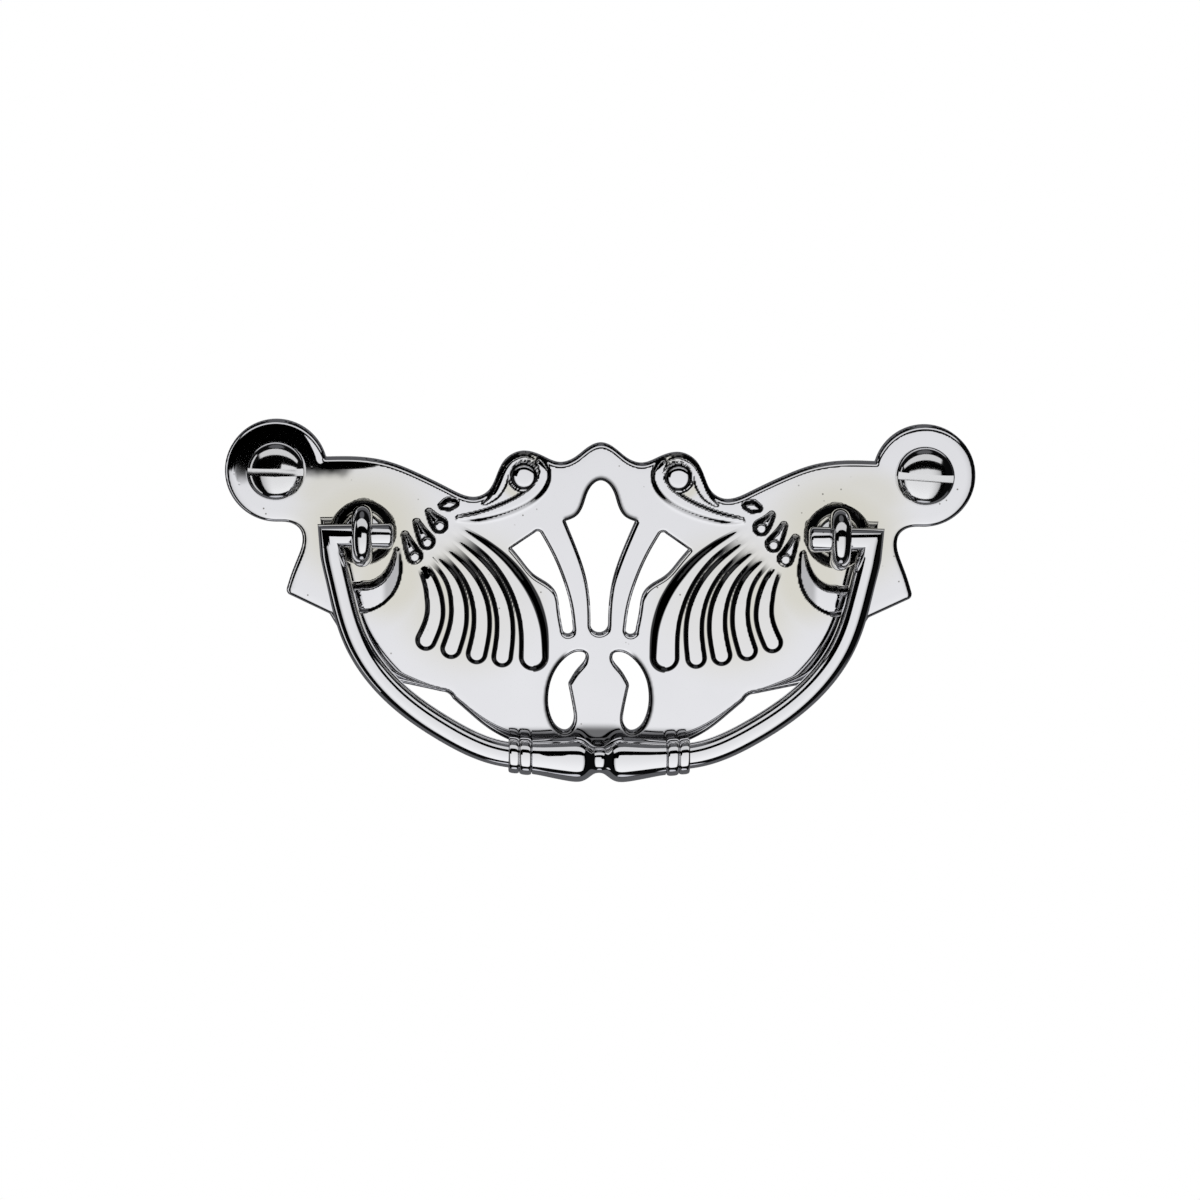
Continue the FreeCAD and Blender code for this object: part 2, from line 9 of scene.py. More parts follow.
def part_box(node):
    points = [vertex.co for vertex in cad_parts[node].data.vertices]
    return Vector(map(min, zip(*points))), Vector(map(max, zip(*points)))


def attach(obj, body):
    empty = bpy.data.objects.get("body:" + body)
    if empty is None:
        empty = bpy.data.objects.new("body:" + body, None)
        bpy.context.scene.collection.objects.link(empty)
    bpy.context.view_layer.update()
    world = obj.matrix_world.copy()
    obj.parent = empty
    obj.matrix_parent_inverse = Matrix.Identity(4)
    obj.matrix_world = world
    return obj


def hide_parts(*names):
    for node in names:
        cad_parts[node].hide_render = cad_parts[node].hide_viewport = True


# Looks of a chrome drop pull. The CAD model gives every place; lengths in the lists here are millimetres, with
# x to the right, z up and heights measured forwards from the back face of the plate.
MM = 0.001

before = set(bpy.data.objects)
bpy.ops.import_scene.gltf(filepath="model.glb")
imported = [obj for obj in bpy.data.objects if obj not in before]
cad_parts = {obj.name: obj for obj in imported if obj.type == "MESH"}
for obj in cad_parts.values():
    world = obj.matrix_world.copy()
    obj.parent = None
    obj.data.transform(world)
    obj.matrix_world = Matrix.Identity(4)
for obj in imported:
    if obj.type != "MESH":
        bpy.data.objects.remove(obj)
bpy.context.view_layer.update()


# Places read from the frame

def node_centre(node):
    low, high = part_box(node)
    return (Vector(low) + Vector(high)) / 2 / MM


EYE = node_centre("right_eye_post")
SCREW = node_centre("right_fixing_screw")
HINGE = Vector((0, -6.3, -7.1))

# Plate
THICKNESS = 2.0
EDGE_ROUND = 0.55
SHOULDER_WIDTH = 1.3
SHOULDER_BEND = 0.09
OPENING_SLOPE = 0.55
OPENING_TILT = 1.35
OPENING_INSET = 0.28
GRID = 0.16
BESIDE = 0.03
EAR_RADIUS = 6.0
SCREW_HOLE = 2.1
DISH_RADIUS = 3.9
DISH_DEPTH = 1.0
DISH_FLOOR = 2.4
RIVET_SEAT = 2.45
RIVET_DEPTH = 0.9
SHANK_RADIUS = 1.5

CREST = [(0, 3.55), (1.7, 2.85), (3.1, 1.75), (4.8, 1.2), (6.9, 1.95), (9.0, 2.5)]
SCROLL_BACK = [(9.0, 2.5), (11.15, 1.55), (12.2, -0.35), (13.3, -2.35), (14.9, -3.0)]
SHOULDER = [(14.9, -3.0), (17.7, -2.05), (21.2, -0.35), (24.8, 1.05), (28.4, 1.62)]
TAIL_EDGE = [(31.7, -16.8), (30.0, -19.5), (27.7, -22.3), (25.2, -24.3), (22.4, -25.1)]
TAIL_EDGE_END = (18.4, -25.95)
HIP = [(18.4, -25.95), (17.8, -26.1), (17.2, -26.75)]
FOOT = [(17.2, -26.75), (15.3, -28.4), (13.5, -29.9), (11.0, -31.4), (6.5, -32.8), (0, -33.2)]
NOTCH_ANGLE = 164.5
EAR_END_ANGLE = -92
NECK = [(-1.75, -6.15), (-2.8, -6.9), (-3.1, -8.1), (-2.65, -9.9), (-1.8, -12.1), (-1.27, -13.8)]
TAIL_CORNER = [(-1.27, -13.8), (-1.32, -14.3), (-1.75, -14.65)]
MIDDLE_TOP = [(0, -0.82), (1.2, -1.62), (2.07, -3.85), (2.8, -5.0), (4.12, -5.62)]
MIDDLE_SIDE = [(4.12, -5.62), (2.68, -9.1), (1.55, -12.55), (1.05, -17.85)]
MIDDLE_FOOT = [(1.05, -17.85), (0.74, -18.6), (0, -18.9)]
SIDE_TOP = [(10.43, -8.91), (7.68, -7.03)]
SIDE_CORNER = [(7.68, -7.03), (7.27, -6.87), (7.0, -7.1)]
SIDE_INNER = [(7.0, -7.1), (5.85, -9.12), (4.37, -12.5), (3.38, -16.05), (3.1, -18.3)]
SIDE_FOOT = [(3.1, -18.3), (3.72, -19.07), (4.32, -18.4)]
SIDE_OUTER = [(4.32, -18.4), (4.72, -16.15), (5.2, -14.05), (6.24, -13.02), (7.72, -12.08), (9.18, -10.43),
              (10.43, -8.91)]
KIDNEY = [(3.3, -25.0), (2.3, -23.4), (1.3, -21.85), (1.5, -21.05), (2.42, -20.77), (4.15, -21.6),
          (5.5, -23.4), (6.2, -26.0), (5.8, -29.1), (4.85, -30.45), (3.7, -30.75), (2.85, -30.0),
          (2.75, -27.7), (3.3, -25.0)]

# Painted dark reflection: top of the dark band painted along the foot (at the middle, then further out), width of the
# dark line painted along the openings' edges, and where the dark arm painted on the crescent ends
PAINTED_FOOT_REFLECTION = (-29.3, -29.8)
PAINTED_OPENING_LINE = 0.65
PAINTED_ARM_START = 25.7

# Relief: middle line, half widths along it, height, width of the flank, and how the height runs along it
RIB_WIDTHS = [1.18, 1.12, 1.03, 0.82, 0.6]
INNER_RIB_WIDTHS = [1.6, 1.55, 1.4, 1.1, 0.8, 0.6]
INNER_RIB_FLANK = [0.85, 1.0, 1.15, 1.1, 0.8, 0.5]
RIB_RISE = [1, 1, 1, 0.65, 0.06]
INNER_RIB_RISE = [1, 1, 1, 0.9, 0.55, 0.06]
RIB_FLANK = 0.5
RIB_HEIGHT = 0.52
RIBS = [
    ([(20.35, -19.75), (19.35, -16.9), (19.45, -14.6), (20.1, -12.4), (20.8, -11.1)], RIB_WIDTHS, RIB_RISE),
    ([(17.4, -20.7), (16.6, -17.8), (16.6, -15.2), (17.6, -12.3), (19.7, -9.95)], RIB_WIDTHS, RIB_RISE),
    ([(14.4, -21.3), (13.85, -18.2), (14.1, -15.2), (15.6, -11.95), (18.7, -8.95)], RIB_WIDTHS, RIB_RISE),
    ([(11.4, -21.65), (11.1, -18.7), (11.5, -15.4), (13.4, -11.65), (17.7, -7.75)], RIB_WIDTHS, RIB_RISE),
    ([(7.75, -21.6), (7.85, -18.5), (8.6, -15.4), (10.3, -12.2), (13.0, -9.25), (16.9, -6.7)],
     INNER_RIB_WIDTHS, INNER_RIB_RISE),
]
TEARDROPS = [
    ([(22.85, -7.45), (22.3, -8.8), (21.75, -9.85)], [0.55, 0.8, 1.02], [0.5, 0.9, 1]),
    ([(21.5, -5.95), (20.9, -7.2), (20.3, -8.15)], [0.55, 0.8, 1.02], [0.5, 0.9, 1]),
    ([(20.05, -4.75), (19.45, -5.6), (18.85, -6.2)], [0.55, 0.82, 1.05], [0.5, 0.9, 1]),
    ([(18.5, -3.95), (17.8, -3.75), (17.1, -3.65)], [0.55, 0.85, 0.6], [0.8, 1, 0.8]),
]
CRESCENT = ([(23.75, -9.3), (24.0, -11.5), (25.2, -13.7), (27.5, -14.85), (30.0, -14.3), (31.5, -12.9)],
            [0.4, 0.8, 1.25, 1.65, 1.2, 0.45], [0.3, 0.8, 1, 1, 0.8, 0.3])
CRESCENT_INNER = [0.5, 0.8, 1.05, 1.15, 1.05, 0.5]
SCROLL_RIDGE = ([(16.6, -5.35), (14.3, -5.0), (11.6, -4.2), (9.0, -2.95), (7.35, -1.5), (6.8, 0.0), (7.3, 1.3)],
                [0.35, 0.5, 0.65, 0.75, 0.75, 0.7, 0.5], [0.3, 0.9, 1, 1, 1, 1, 0.7])
SCROLL_OUTER = [0.5, 1.1, 1.3, 1.3, 1.0, 0.55, 0.5]
FLANK_RIDGE = ([(7.9, 1.5), (9.0, 1.8), (10.2, 1.3), (11.1, 0.1), (11.65, -1.3), (12.4, -2.6), (13.6, -3.6)],
               [0.25, 0.32, 0.42, 0.5, 0.62, 0.5, 0.25], [0.5, 0.8, 1, 1, 1, 0.9, 0.4])
BEAD_CENTRE = (9.05, -0.32)
BEAD_RADIUS = 1.66
BEAD_HEIGHT = 0.95
BEAD_RING_RADIUS = 2.0
BEAD_RING_HEIGHT = 0.34
PEARL_RADIUS = 0.8
PEARL_HEIGHT = 0.85

# Bail
ROD = 1.5
LIMB_HALF = 31.5
BAIL_DROP = 26.1
LIMB = [(1.0, 0.0), (0.991, 0.08), (0.971, 0.19), (0.9, 0.475), (0.77, 0.69), (0.57, 0.868), (0.36, 0.974),
        (0.285, 0.985)]
PIN_OVERHANG = 2.4
PIN_END_ROUND = 0.6
GRIP = [(0, 1.52), (0.35, 1.56), (0.95, 1.9), (1.5, 2.3), (2.0, 2.53), (2.65, 2.62), (3.3, 2.59), (4.4, 2.45),
        (5.8, 2.24), (7.1, 2.06), (7.8, 2.0)]
GRIP_NECK = 1.76
GRIP_BEADS = [(7.9, 1.45, 2.16), (9.35, 1.25, 2.1)]
BEAD_SHAPE = 3.0
GRIP_BEND = 0.0048

# Eye
RING_WIDTH = 2.4
RING_RADIUS = 3.65
RING_BORE = 1.58
COLLAR_RADIUS = 2.3

# Screw
HEAD_RADIUS = 3.5
HEAD_HEIGHT = 2.4
SLOT_WIDTH = 0.85
SLOT_DEPTH = 1.2
SLOT_EDGE = 0.4
SLOT_TILTS = {"left": 0.0, "right": 3.5}
THREAD_CORE = 1.25
THREAD_CREST = 1.72
THREAD_PITCH = 1.5

# Photograph's view
VIEW_AZIMUTH = -1.5
VIEW_ELEVATION = 6.5
VIEW_ROLL = -0.6
VIEW_DISTANCE = 560
VIEW_WIDTH = 141.4
VIEW_AIM = (0.08, 0, -15.1)

# Studio: lit sheets in front, above and to the left of the pull, and levels of the room by direction
FRONT_PLACE = -91
FRONT_LEVEL = 1.02
FRONT_TOP = (-0.0082, 0.018)
FRONT_CLIMB = (-0.033, -0.021)
FRONT_BOTTOM = -0.168
FRONT_LEFT = -0.097
FRONT_RIGHT = 0.102
STRIP_CORNERS = [(-120, -72, 52), (120, -72, 52), (120, -30, 66), (-120, -30, 66)]
STRIP_LEVEL = 0.8
SIDE_CORNERS = [(-110, -20, -120), (-110, -2, -120), (-110, -2, 60), (-110, -20, 60)]
SIDE_LEVEL = 0.8
SLATE_BEHIND = (0.38, 0.52)
SLATE_ABOVE = (0.93, 0.97)
SLATE_BELOW = (0.06, 0.12)
SLATE_LEVEL = 0.125
LINE_TOP = (-0.962, -0.975)
LINE_BACK = (0.03, 0.0)
LINE_LEVEL = 0.8
ROOM_LEVEL = 0.004


# Lines in the plane of the plate

def cubic(points, start=None, end=None, step=0.03):
    """Points along a smooth line through the given ones, with its first and last directions where they matter."""
    p = np.array(points, float)
    span = np.linalg.norm(np.diff(p, axis=0), axis=1)
    count = len(p)
    matrix = np.zeros((count, count))
    right = np.zeros((count, p.shape[1]))
    for i in range(1, count - 1):
        before, after = span[i - 1], span[i]
        matrix[i, i - 1:i + 2] = [1 / before, 2 / before + 2 / after, 1 / after]
        right[i] = 3 * ((p[i] - p[i - 1]) / before ** 2 + (p[i + 1] - p[i]) / after ** 2)
    for i, other, known, chord in ((0, 1, start, (p[1] - p[0]) / span[0]), (-1, -2, end, (p[-1] - p[-2]) / span[-1])):
        if known is None:
            matrix[i, i], matrix[i, other] = 2, 1
            right[i] = 3 * chord
        else:
            matrix[i, i] = 1
            right[i] = np.array(known, float) / np.linalg.norm(known)
    slope = np.linalg.solve(matrix, right)
    out = []
    for i in range(count - 1):
        steps = max(2, int(math.ceil(span[i] / step)))
        t = np.linspace(0, 1, steps, endpoint=False)[:, None]
        h = span[i]
        out.append((2 * t ** 3 - 3 * t ** 2 + 1) * p[i] + (t ** 3 - 2 * t ** 2 + t) * h * slope[i]
                   + (3 * t ** 2 - 2 * t ** 3) * p[i + 1] + (t ** 3 - t ** 2) * h * slope[i + 1])
    out.append(p[-1:])
    return np.vstack(out)


def arc(points, step=0.03):
    """Points along the circle through three points."""
    a, b, c = (np.array(point, float) for point in points)
    m = 2 * np.array([b - a, c - a])
    centre = np.linalg.solve(m, np.array([b @ b - a @ a, c @ c - a @ a]))
    radius = np.linalg.norm(a - centre)
    angle = [math.atan2(*(q - centre)[::-1]) for q in (a, b, c)]
    turn = (angle[2] - angle[0]) % (2 * math.pi)
    if (angle[1] - angle[0]) % (2 * math.pi) > turn:
        turn -= 2 * math.pi
    steps = max(6, int(abs(turn) * radius / step))
    around = angle[0] + np.linspace(0, turn, steps + 1)
    return centre + radius * np.column_stack([np.cos(around), np.sin(around)])


def straight(first, last, step=0.03):
    a, b = np.array(first, float), np.array(last, float)
    steps = max(2, int(np.linalg.norm(b - a) / step))
    return a + (b - a) * np.linspace(0, 1, steps + 1)[:, None]


def joined(*runs):
    """One closed loop of points from runs that follow on from each other."""
    return np.vstack([run[:-1] for run in runs])


def plate_loops():
    """Edge of the right half of the plate and its openings."""
    ear = SCREW.x

    def on_ear(degrees):
        angle = math.radians(degrees)
        return ear + EAR_RADIUS * math.cos(angle), EAR_RADIUS * math.sin(angle)

    def by_ear(points):
        return [(ear + x, z) for x, z in points]

    outline = joined(
        cubic(CREST, (1, 0), (1, 0)),
        cubic(SCROLL_BACK, (1, 0), (1, 0)),
        cubic(SHOULDER + [on_ear(NOTCH_ANGLE)], (1, 0)),
        arc([on_ear(NOTCH_ANGLE), on_ear(0), on_ear(EAR_END_ANGLE)]),
        cubic([on_ear(EAR_END_ANGLE)] + by_ear(NECK), (-1, 0)),
        arc(by_ear(TAIL_CORNER)),
        straight(by_ear(TAIL_CORNER)[-1], TAIL_EDGE[0]),
        cubic(TAIL_EDGE),
        straight(TAIL_EDGE[-1], TAIL_EDGE_END),
        arc(HIP),
        cubic(FOOT, None, (-1, 0)),
        straight(FOOT[-1], CREST[0]),
    )
    middle = joined(
        cubic(MIDDLE_TOP, (1, 0)),
        cubic(MIDDLE_SIDE, None, (0, -1)),
        arc(MIDDLE_FOOT),
        straight(MIDDLE_FOOT[-1], MIDDLE_TOP[0]),
    )
    side = joined(
        straight(*SIDE_TOP),
        arc(SIDE_CORNER),
        cubic(SIDE_INNER),
        arc(SIDE_FOOT),
        cubic(SIDE_OUTER),
    )
    kidney = joined(cubic(KIDNEY))
    around = np.linspace(0, 2 * math.pi, 400, endpoint=False)
    hole = np.column_stack([ear + SCREW_HOLE * np.cos(around), SCREW_HOLE * np.sin(around)])
    return [outline, middle, side, inset(kidney, OPENING_INSET), hole]


def inset(loop, amount):
    """The opening's edge moved inwards by the same amount all round."""
    ahead = np.roll(loop, -2, axis=0) - np.roll(loop, 2, axis=0)
    ahead /= np.maximum(np.linalg.norm(ahead, axis=1), 1e-9)[:, None]
    turned = np.column_stack([-ahead[:, 1], ahead[:, 0]])
    area = np.sum(loop[:, 0] * np.roll(loop[:, 1], -1) - loop[:, 1] * np.roll(loop[:, 0], -1))
    return loop + turned * (amount if area > 0 else -amount)


def inside(loops, xs, zs):
    """Whether each grid point lies inside the outline and outside its openings, by crossings along each row."""
    first = np.vstack(loops)
    second = np.vstack([np.roll(loop, -1, axis=0) for loop in loops])
    result = np.zeros((len(zs), len(xs)), bool)
    for row, z in enumerate(zs):
        crossed = (first[:, 1] > z) != (second[:, 1] > z)
        a, b = first[crossed], second[crossed]
        at = np.sort(a[:, 0] + (z - a[:, 1]) / (b[:, 1] - a[:, 1]) * (b[:, 0] - a[:, 0]))
        result[row] = np.searchsorted(at, xs) % 2 == 1
    return result


# Relief

def smooth_step(value):
    t = np.clip(value, 0, 1)
    return t * t * (3 - 2 * t)


def steep_step(value):
    """A step of even slope with its two corners a little rounded."""
    t = np.clip(value, 0, 1)
    soft = 0.26
    low = t * t / (2 * soft)
    high = 1 - soft - (1 - t) ** 2 / (2 * soft)
    return np.where(t < soft, low, np.where(t > 1 - soft, high, t - soft / 2)) / (1 - soft)


def ridge(x, z, points, half_widths, rise, height, flank, root=0.18, outer=None, outside=0.6, lines=False):
    """Height of one ridge about its middle line, with flanks that also run a little outside. The side to the left
    of the line has soft flanks of the widths in outer, where these are given. With lines: the place on the flank,
    0 at its foot and 1 at its top, and the share of the height."""
    line = cubic(points, step=0.06)
    given = np.array(points, float)
    nearest = [int(np.argmin(np.linalg.norm(line - q, axis=1))) for q in given]
    along = np.arange(len(line))
    ahead = np.gradient(line, axis=0)
    pace = np.linalg.norm(ahead, axis=1)
    ahead /= pace[:, None]
    half = np.interp(along, nearest, half_widths)
    margin = max(half_widths) + root + 0.3 + (max(outer) if outer else 0)
    result = np.zeros_like(x)
    low, high = line.min(axis=0) - margin, line.max(axis=0) + margin
    near = (x > low[0]) & (x < high[0]) & (z > low[1]) & (z < high[1])
    px, pz = x[near], z[near]
    apart = np.hypot(px[:, None] - line[None, :, 0], pz[:, None] - line[None, :, 1])
    best = np.argmin(apart - half[None, :], axis=1)
    off_x, off_z = px - line[best, 0], pz - line[best, 1]
    on = off_x * ahead[best, 0] + off_z * ahead[best, 1]
    on = np.clip(on, np.where(best == 0, 0, -pace[best]), np.where(best == len(line) - 1, 0, pace[best]))
    place = best + on / pace[best]
    distance = np.hypot(off_x - on * ahead[best, 0], off_z - on * ahead[best, 1])
    half_here = np.interp(place, nearest, half_widths)
    depth = half_here - distance
    on_flank = (depth + root) / (flank + root)
    body = steep_step(on_flank)
    if outer:
        left = ahead[best, 0] * off_z - ahead[best, 1] * off_x > 0
        soft = np.interp(place, nearest, outer)
        on_soft = (depth + outside * soft) / (outside * soft + np.minimum(half_here, (1 - outside) * soft))
        body = np.where(left, smooth_step(on_soft), body)
        on_flank = np.where(left, on_soft, on_flank)
    share = np.interp(place, nearest, rise)
    if lines:
        flank_place, shares = np.full_like(x, -9.0), np.zeros_like(x)
        flank_place[near], shares[near] = on_flank, share
        return flank_place, shares
    crown = 1 - 0.1 * np.clip(1 - depth / half_here, 0, 1) ** 2
    result[near] = height * share * body * crown
    return result


def dome(x, z, centre, radius, height):
    """A bead with a broad top and steep sides."""
    away = np.hypot(x - centre[0], z - centre[1]) / radius
    return height * np.sqrt(np.clip(1 - away ** 4, 0, 1))


def rib_lines(x, z):
    """Place on the flank of the nearest rib and the share of that rib's height, which place the painted dark reflection
    lines along the ribs.
    """
    place, share = np.full_like(x, -9.0), np.zeros_like(x)
    for number, rib in enumerate(RIBS):
        extra = (INNER_RIB_FLANK, 0.25) if number == len(RIBS) - 1 else ()
        here, height = ridge(x, z, *rib, RIB_HEIGHT, RIB_FLANK, 0.1, *extra, lines=True)
        share = np.where(here > place, height, share)
        place = np.maximum(place, here)
    return np.maximum(place, -1.0), share


def relief(x, z):
    """Height of the ornament above the flat of the plate."""
    total = np.zeros_like(x)
    for points, widths, rise in RIBS[:-1]:
        total = np.maximum(total, ridge(x, z, points, widths, rise, RIB_HEIGHT, RIB_FLANK, 0.1))
    total = np.maximum(total, ridge(x, z, *RIBS[-1], RIB_HEIGHT, RIB_FLANK, 0.1, INNER_RIB_FLANK, 0.25))
    for number, (points, widths, rise) in enumerate(TEARDROPS):
        drop = ridge(x, z, points, widths, rise, 0.62, 0.62, 0.1)
        if number < len(TEARDROPS) - 1:
            drop = np.maximum(drop, dome(x, z, points[-1], PEARL_RADIUS, PEARL_HEIGHT))
        total = np.maximum(total, drop)
    total = np.maximum(total, ridge(x, z, *CRESCENT, 0.6, 0.45, 0.12, CRESCENT_INNER, 0.4))
    total = np.maximum(total, ridge(x, z, *SCROLL_RIDGE, 0.5, 0.3, 0.12, SCROLL_OUTER))
    total = np.maximum(total, ridge(x, z, *FLANK_RIDGE, 0.4, 0.22, 0.12))
    away = np.hypot(x - BEAD_CENTRE[0], z - BEAD_CENTRE[1])
    total = np.maximum(total, BEAD_RING_HEIGHT * steep_step((BEAD_RING_RADIUS - away) / 0.3))
    total = np.maximum(total, dome(x, z, BEAD_CENTRE, BEAD_RADIUS, BEAD_HEIGHT))
    seat = np.hypot(x - EYE.x, z - EYE_Z)
    dish = DISH_DEPTH * steep_step((DISH_RADIUS - seat) / (DISH_RADIUS - DISH_FLOOR))
    inner = seat < DISH_RADIUS
    return np.where(inner, total * smooth_step((seat - DISH_RADIUS + 0.5) / 0.5) - dish, total)


EYE_Z = -7.1


def edge_drop(distance, opening):
    """How far the front edge lies below the flat, and its slope, at a distance inside the edge: round at the
    outline, with a broad soft shoulder, and a slope that grows towards the openings."""
    inner = np.clip(EDGE_ROUND - distance, 0, EDGE_ROUND)
    under = np.sqrt(np.maximum(EDGE_ROUND ** 2 - inner ** 2, 1e-6))
    shoulder = np.clip(SHOULDER_WIDTH - distance, 0, None)
    round_drop = EDGE_ROUND - under + SHOULDER_BEND * shoulder ** 2
    round_slope = -inner / under - 2 * SHOULDER_BEND * shoulder
    run = np.clip(OPENING_SLOPE - distance, 0, None)
    slope_drop = OPENING_TILT * run ** 2 / (2 * OPENING_SLOPE)
    slope_slope = -OPENING_TILT * run / OPENING_SLOPE
    return np.where(opening, slope_drop, round_drop), np.where(opening, slope_slope, round_slope)


# Meshes

# Colour data for each point of the plate: warm tone, share of painted dark reflection, place on the nearest rib's flank
# and that rib's share of height (for the painted dark reflection lines along the ribs)
SHADE_NAMES = ("crevice", "flank", "rib_place", "rib_share")
NO_SHADE = (0.0, 0.0, -1.0, 0.0)


def make_object(name, points, faces, material, body, node=None, slot=None, normals=None, attribute=None, angle=None):
    """A piece from points in millimetres. Normals are given one for each corner of each face, or worked out."""
    mesh = bpy.data.meshes.new(name)
    mesh.from_pydata((np.asarray(points, float) * MM).tolist(), [], [list(map(int, face)) for face in faces])
    mesh.polygons.foreach_set("use_smooth", [True] * len(mesh.polygons))
    if attribute is not None:
        for title, values in zip(SHADE_NAMES, np.asarray(attribute, np.float32).T):
            layer = mesh.attributes.new(title, "FLOAT", "POINT")
            layer.data.foreach_set("value", np.ascontiguousarray(values))
    if normals is not None:
        mesh.normals_split_custom_set(np.asarray(normals, float).tolist())
    if angle is not None:
        mesh.set_sharp_from_angle(angle=math.radians(angle))
    mesh.materials.append(material)
    mesh.update()
    piece = bpy.data.objects.new(name, mesh)
    bpy.context.scene.collection.objects.link(piece)
    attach(piece, body)
    if node:
        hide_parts(node)
    return piece


def lathe(profile, segments, to_world, closed_ends=True):
    """Points and faces of a profile of (along, radius) pairs turned about its axis; to_world maps x, y, z."""
    points, faces = [], []
    rings = []
    for along, radius in profile:
        if radius < 1e-6:
            rings.append([len(points)])
            points.append(to_world(along, 0, 0))
            continue
        rings.append(list(range(len(points), len(points) + segments)))
        for k in range(segments):
            turn = 2 * math.pi * k / segments
            points.append(to_world(along, radius * math.cos(turn), radius * math.sin(turn)))
    for one, two in zip(rings, rings[1:]):
        for k in range(segments):
            after = (k + 1) % segments
            if len(one) == 1:
                faces.append((one[0], two[after], two[k]))
            elif len(two) == 1:
                faces.append((one[k], one[after], two[0]))
            else:
                faces.append((one[k], one[after], two[after], two[k]))
    if closed_ends:
        if len(rings[0]) > 1:
            faces.append(tuple(rings[0][::-1]))
        if len(rings[-1]) > 1:
            faces.append(tuple(rings[-1]))
    return points, faces


def merged(*parts):
    """One list of points and one of faces from several."""
    points, faces = [], []
    for some_points, some_faces in parts:
        base = len(points)
        points += list(some_points)
        faces += [tuple(base + index for index in face) for face in some_faces]
    return points, faces


# Materials

def node_of(tree, kind, **settings):
    node = tree.nodes.new(kind)
    for key, value in settings.items():
        setattr(node, key, value)
    return node


def chrome(name, tint, roughness, pits=0.01, waves=0.007, crevices=False):
    """Bright plate: a cool metal with fine pits, slow waves of the casting and a warm tone in its crevices; with
    crevices, also painted dark reflections on steep flanks, along the ribs, on the foot and by the openings.
    """
    material = bpy.data.materials.new(name)
    material.use_nodes = True
    tree = material.node_tree
    shader = tree.nodes["Principled BSDF"]
    shader.inputs["Metallic"].default_value = 1.0
    place = node_of(tree, "ShaderNodeTexCoord")
    cloud = node_of(tree, "ShaderNodeTexNoise")
    cloud.inputs["Scale"].default_value = 160
    cloud.inputs["Detail"].default_value = 4
    tree.links.new(place.outputs["Object"], cloud.inputs["Vector"])
    tone = node_of(tree, "ShaderNodeMix", data_type="RGBA")
    tone.inputs[6].default_value = (*[c * 0.95 for c in tint], 1)
    tone.inputs[7].default_value = (*tint, 1)
    tree.links.new(cloud.outputs["Fac"], tone.inputs[0])
    colour = tone.outputs[2]
    if crevices:
        reader = node_of(tree, "ShaderNodeAttribute", attribute_name="crevice")
        warm = node_of(tree, "ShaderNodeMix", data_type="RGBA")
        warm.inputs[7].default_value = (0.68, 0.66, 0.57, 1)
        tree.links.new(reader.outputs["Fac"], warm.inputs[0])
        tree.links.new(colour, warm.inputs[6])
        # Painted dark reflection: the flank share and dark lines along the rib flanks turn the colour nearly black
        flank = node_of(tree, "ShaderNodeAttribute", attribute_name="flank")
        place_on_rib = node_of(tree, "ShaderNodeAttribute", attribute_name="rib_place")
        rib_share = node_of(tree, "ShaderNodeAttribute", attribute_name="rib_share")
        painted_rib_line = product(tree, ramp(tree, place_on_rib.outputs["Fac"], -0.1, 0.03),
                           ramp(tree, place_on_rib.outputs["Fac"], 1.0, 0.87),
                           ramp(tree, rib_share.outputs["Fac"], 0.06, 0.45))
        painted_dark_share = math_node(tree, "MAXIMUM", flank.outputs["Fac"], painted_rib_line)
        dark = node_of(tree, "ShaderNodeMix", data_type="RGBA")
        dark.inputs[7].default_value = (0.035, 0.035, 0.036, 1)
        tree.links.new(painted_dark_share, dark.inputs[0])
        tree.links.new(warm.outputs[2], dark.inputs[6])
        colour = dark.outputs[2]
    spread = node_of(tree, "ShaderNodeMapRange")
    spread.inputs["To Min"].default_value = roughness * 0.6
    spread.inputs["To Max"].default_value = roughness * 1.6
    tree.links.new(cloud.outputs["Fac"], spread.inputs["Value"])
    tree.links.new(spread.outputs["Result"], shader.inputs["Roughness"])
    slow = node_of(tree, "ShaderNodeTexNoise")
    slow.inputs["Scale"].default_value = 110
    slow.inputs["Detail"].default_value = 1
    tree.links.new(place.outputs["Object"], slow.inputs["Vector"])
    wave = node_of(tree, "ShaderNodeBump")
    wave.inputs["Strength"].default_value = waves
    wave.inputs["Distance"].default_value = 0.0006
    tree.links.new(slow.outputs["Fac"], wave.inputs["Height"])
    speck = node_of(tree, "ShaderNodeTexVoronoi")
    speck.inputs["Scale"].default_value = 900
    tree.links.new(place.outputs["Object"], speck.inputs["Vector"])
    dots = node_of(tree, "ShaderNodeMapRange")
    dots.inputs["From Max"].default_value = 0.16
    tree.links.new(speck.outputs["Distance"], dots.inputs["Value"])
    sparse = node_of(tree, "ShaderNodeTexNoise")
    sparse.inputs["Scale"].default_value = 240
    tree.links.new(place.outputs["Object"], sparse.inputs["Vector"])
    spot = product(tree, ramp(tree, speck.outputs["Distance"], 0.13, 0.05), ramp(tree, sparse.outputs["Fac"], 0.56, 0.62))
    spotted = node_of(tree, "ShaderNodeMix", data_type="RGBA")
    spotted.inputs[7].default_value = (0.2, 0.19, 0.17, 1)
    tree.links.new(spot, spotted.inputs[0])
    tree.links.new(colour, spotted.inputs[6])
    tree.links.new(spotted.outputs[2], shader.inputs["Base Color"])
    pit = node_of(tree, "ShaderNodeBump")
    pit.inputs["Strength"].default_value = pits
    pit.inputs["Distance"].default_value = 0.0001
    tree.links.new(dots.outputs["Result"], pit.inputs["Height"])
    tree.links.new(wave.outputs["Normal"], pit.inputs["Normal"])
    tree.links.new(pit.outputs["Normal"], shader.inputs["Normal"])
    return material


# Plate

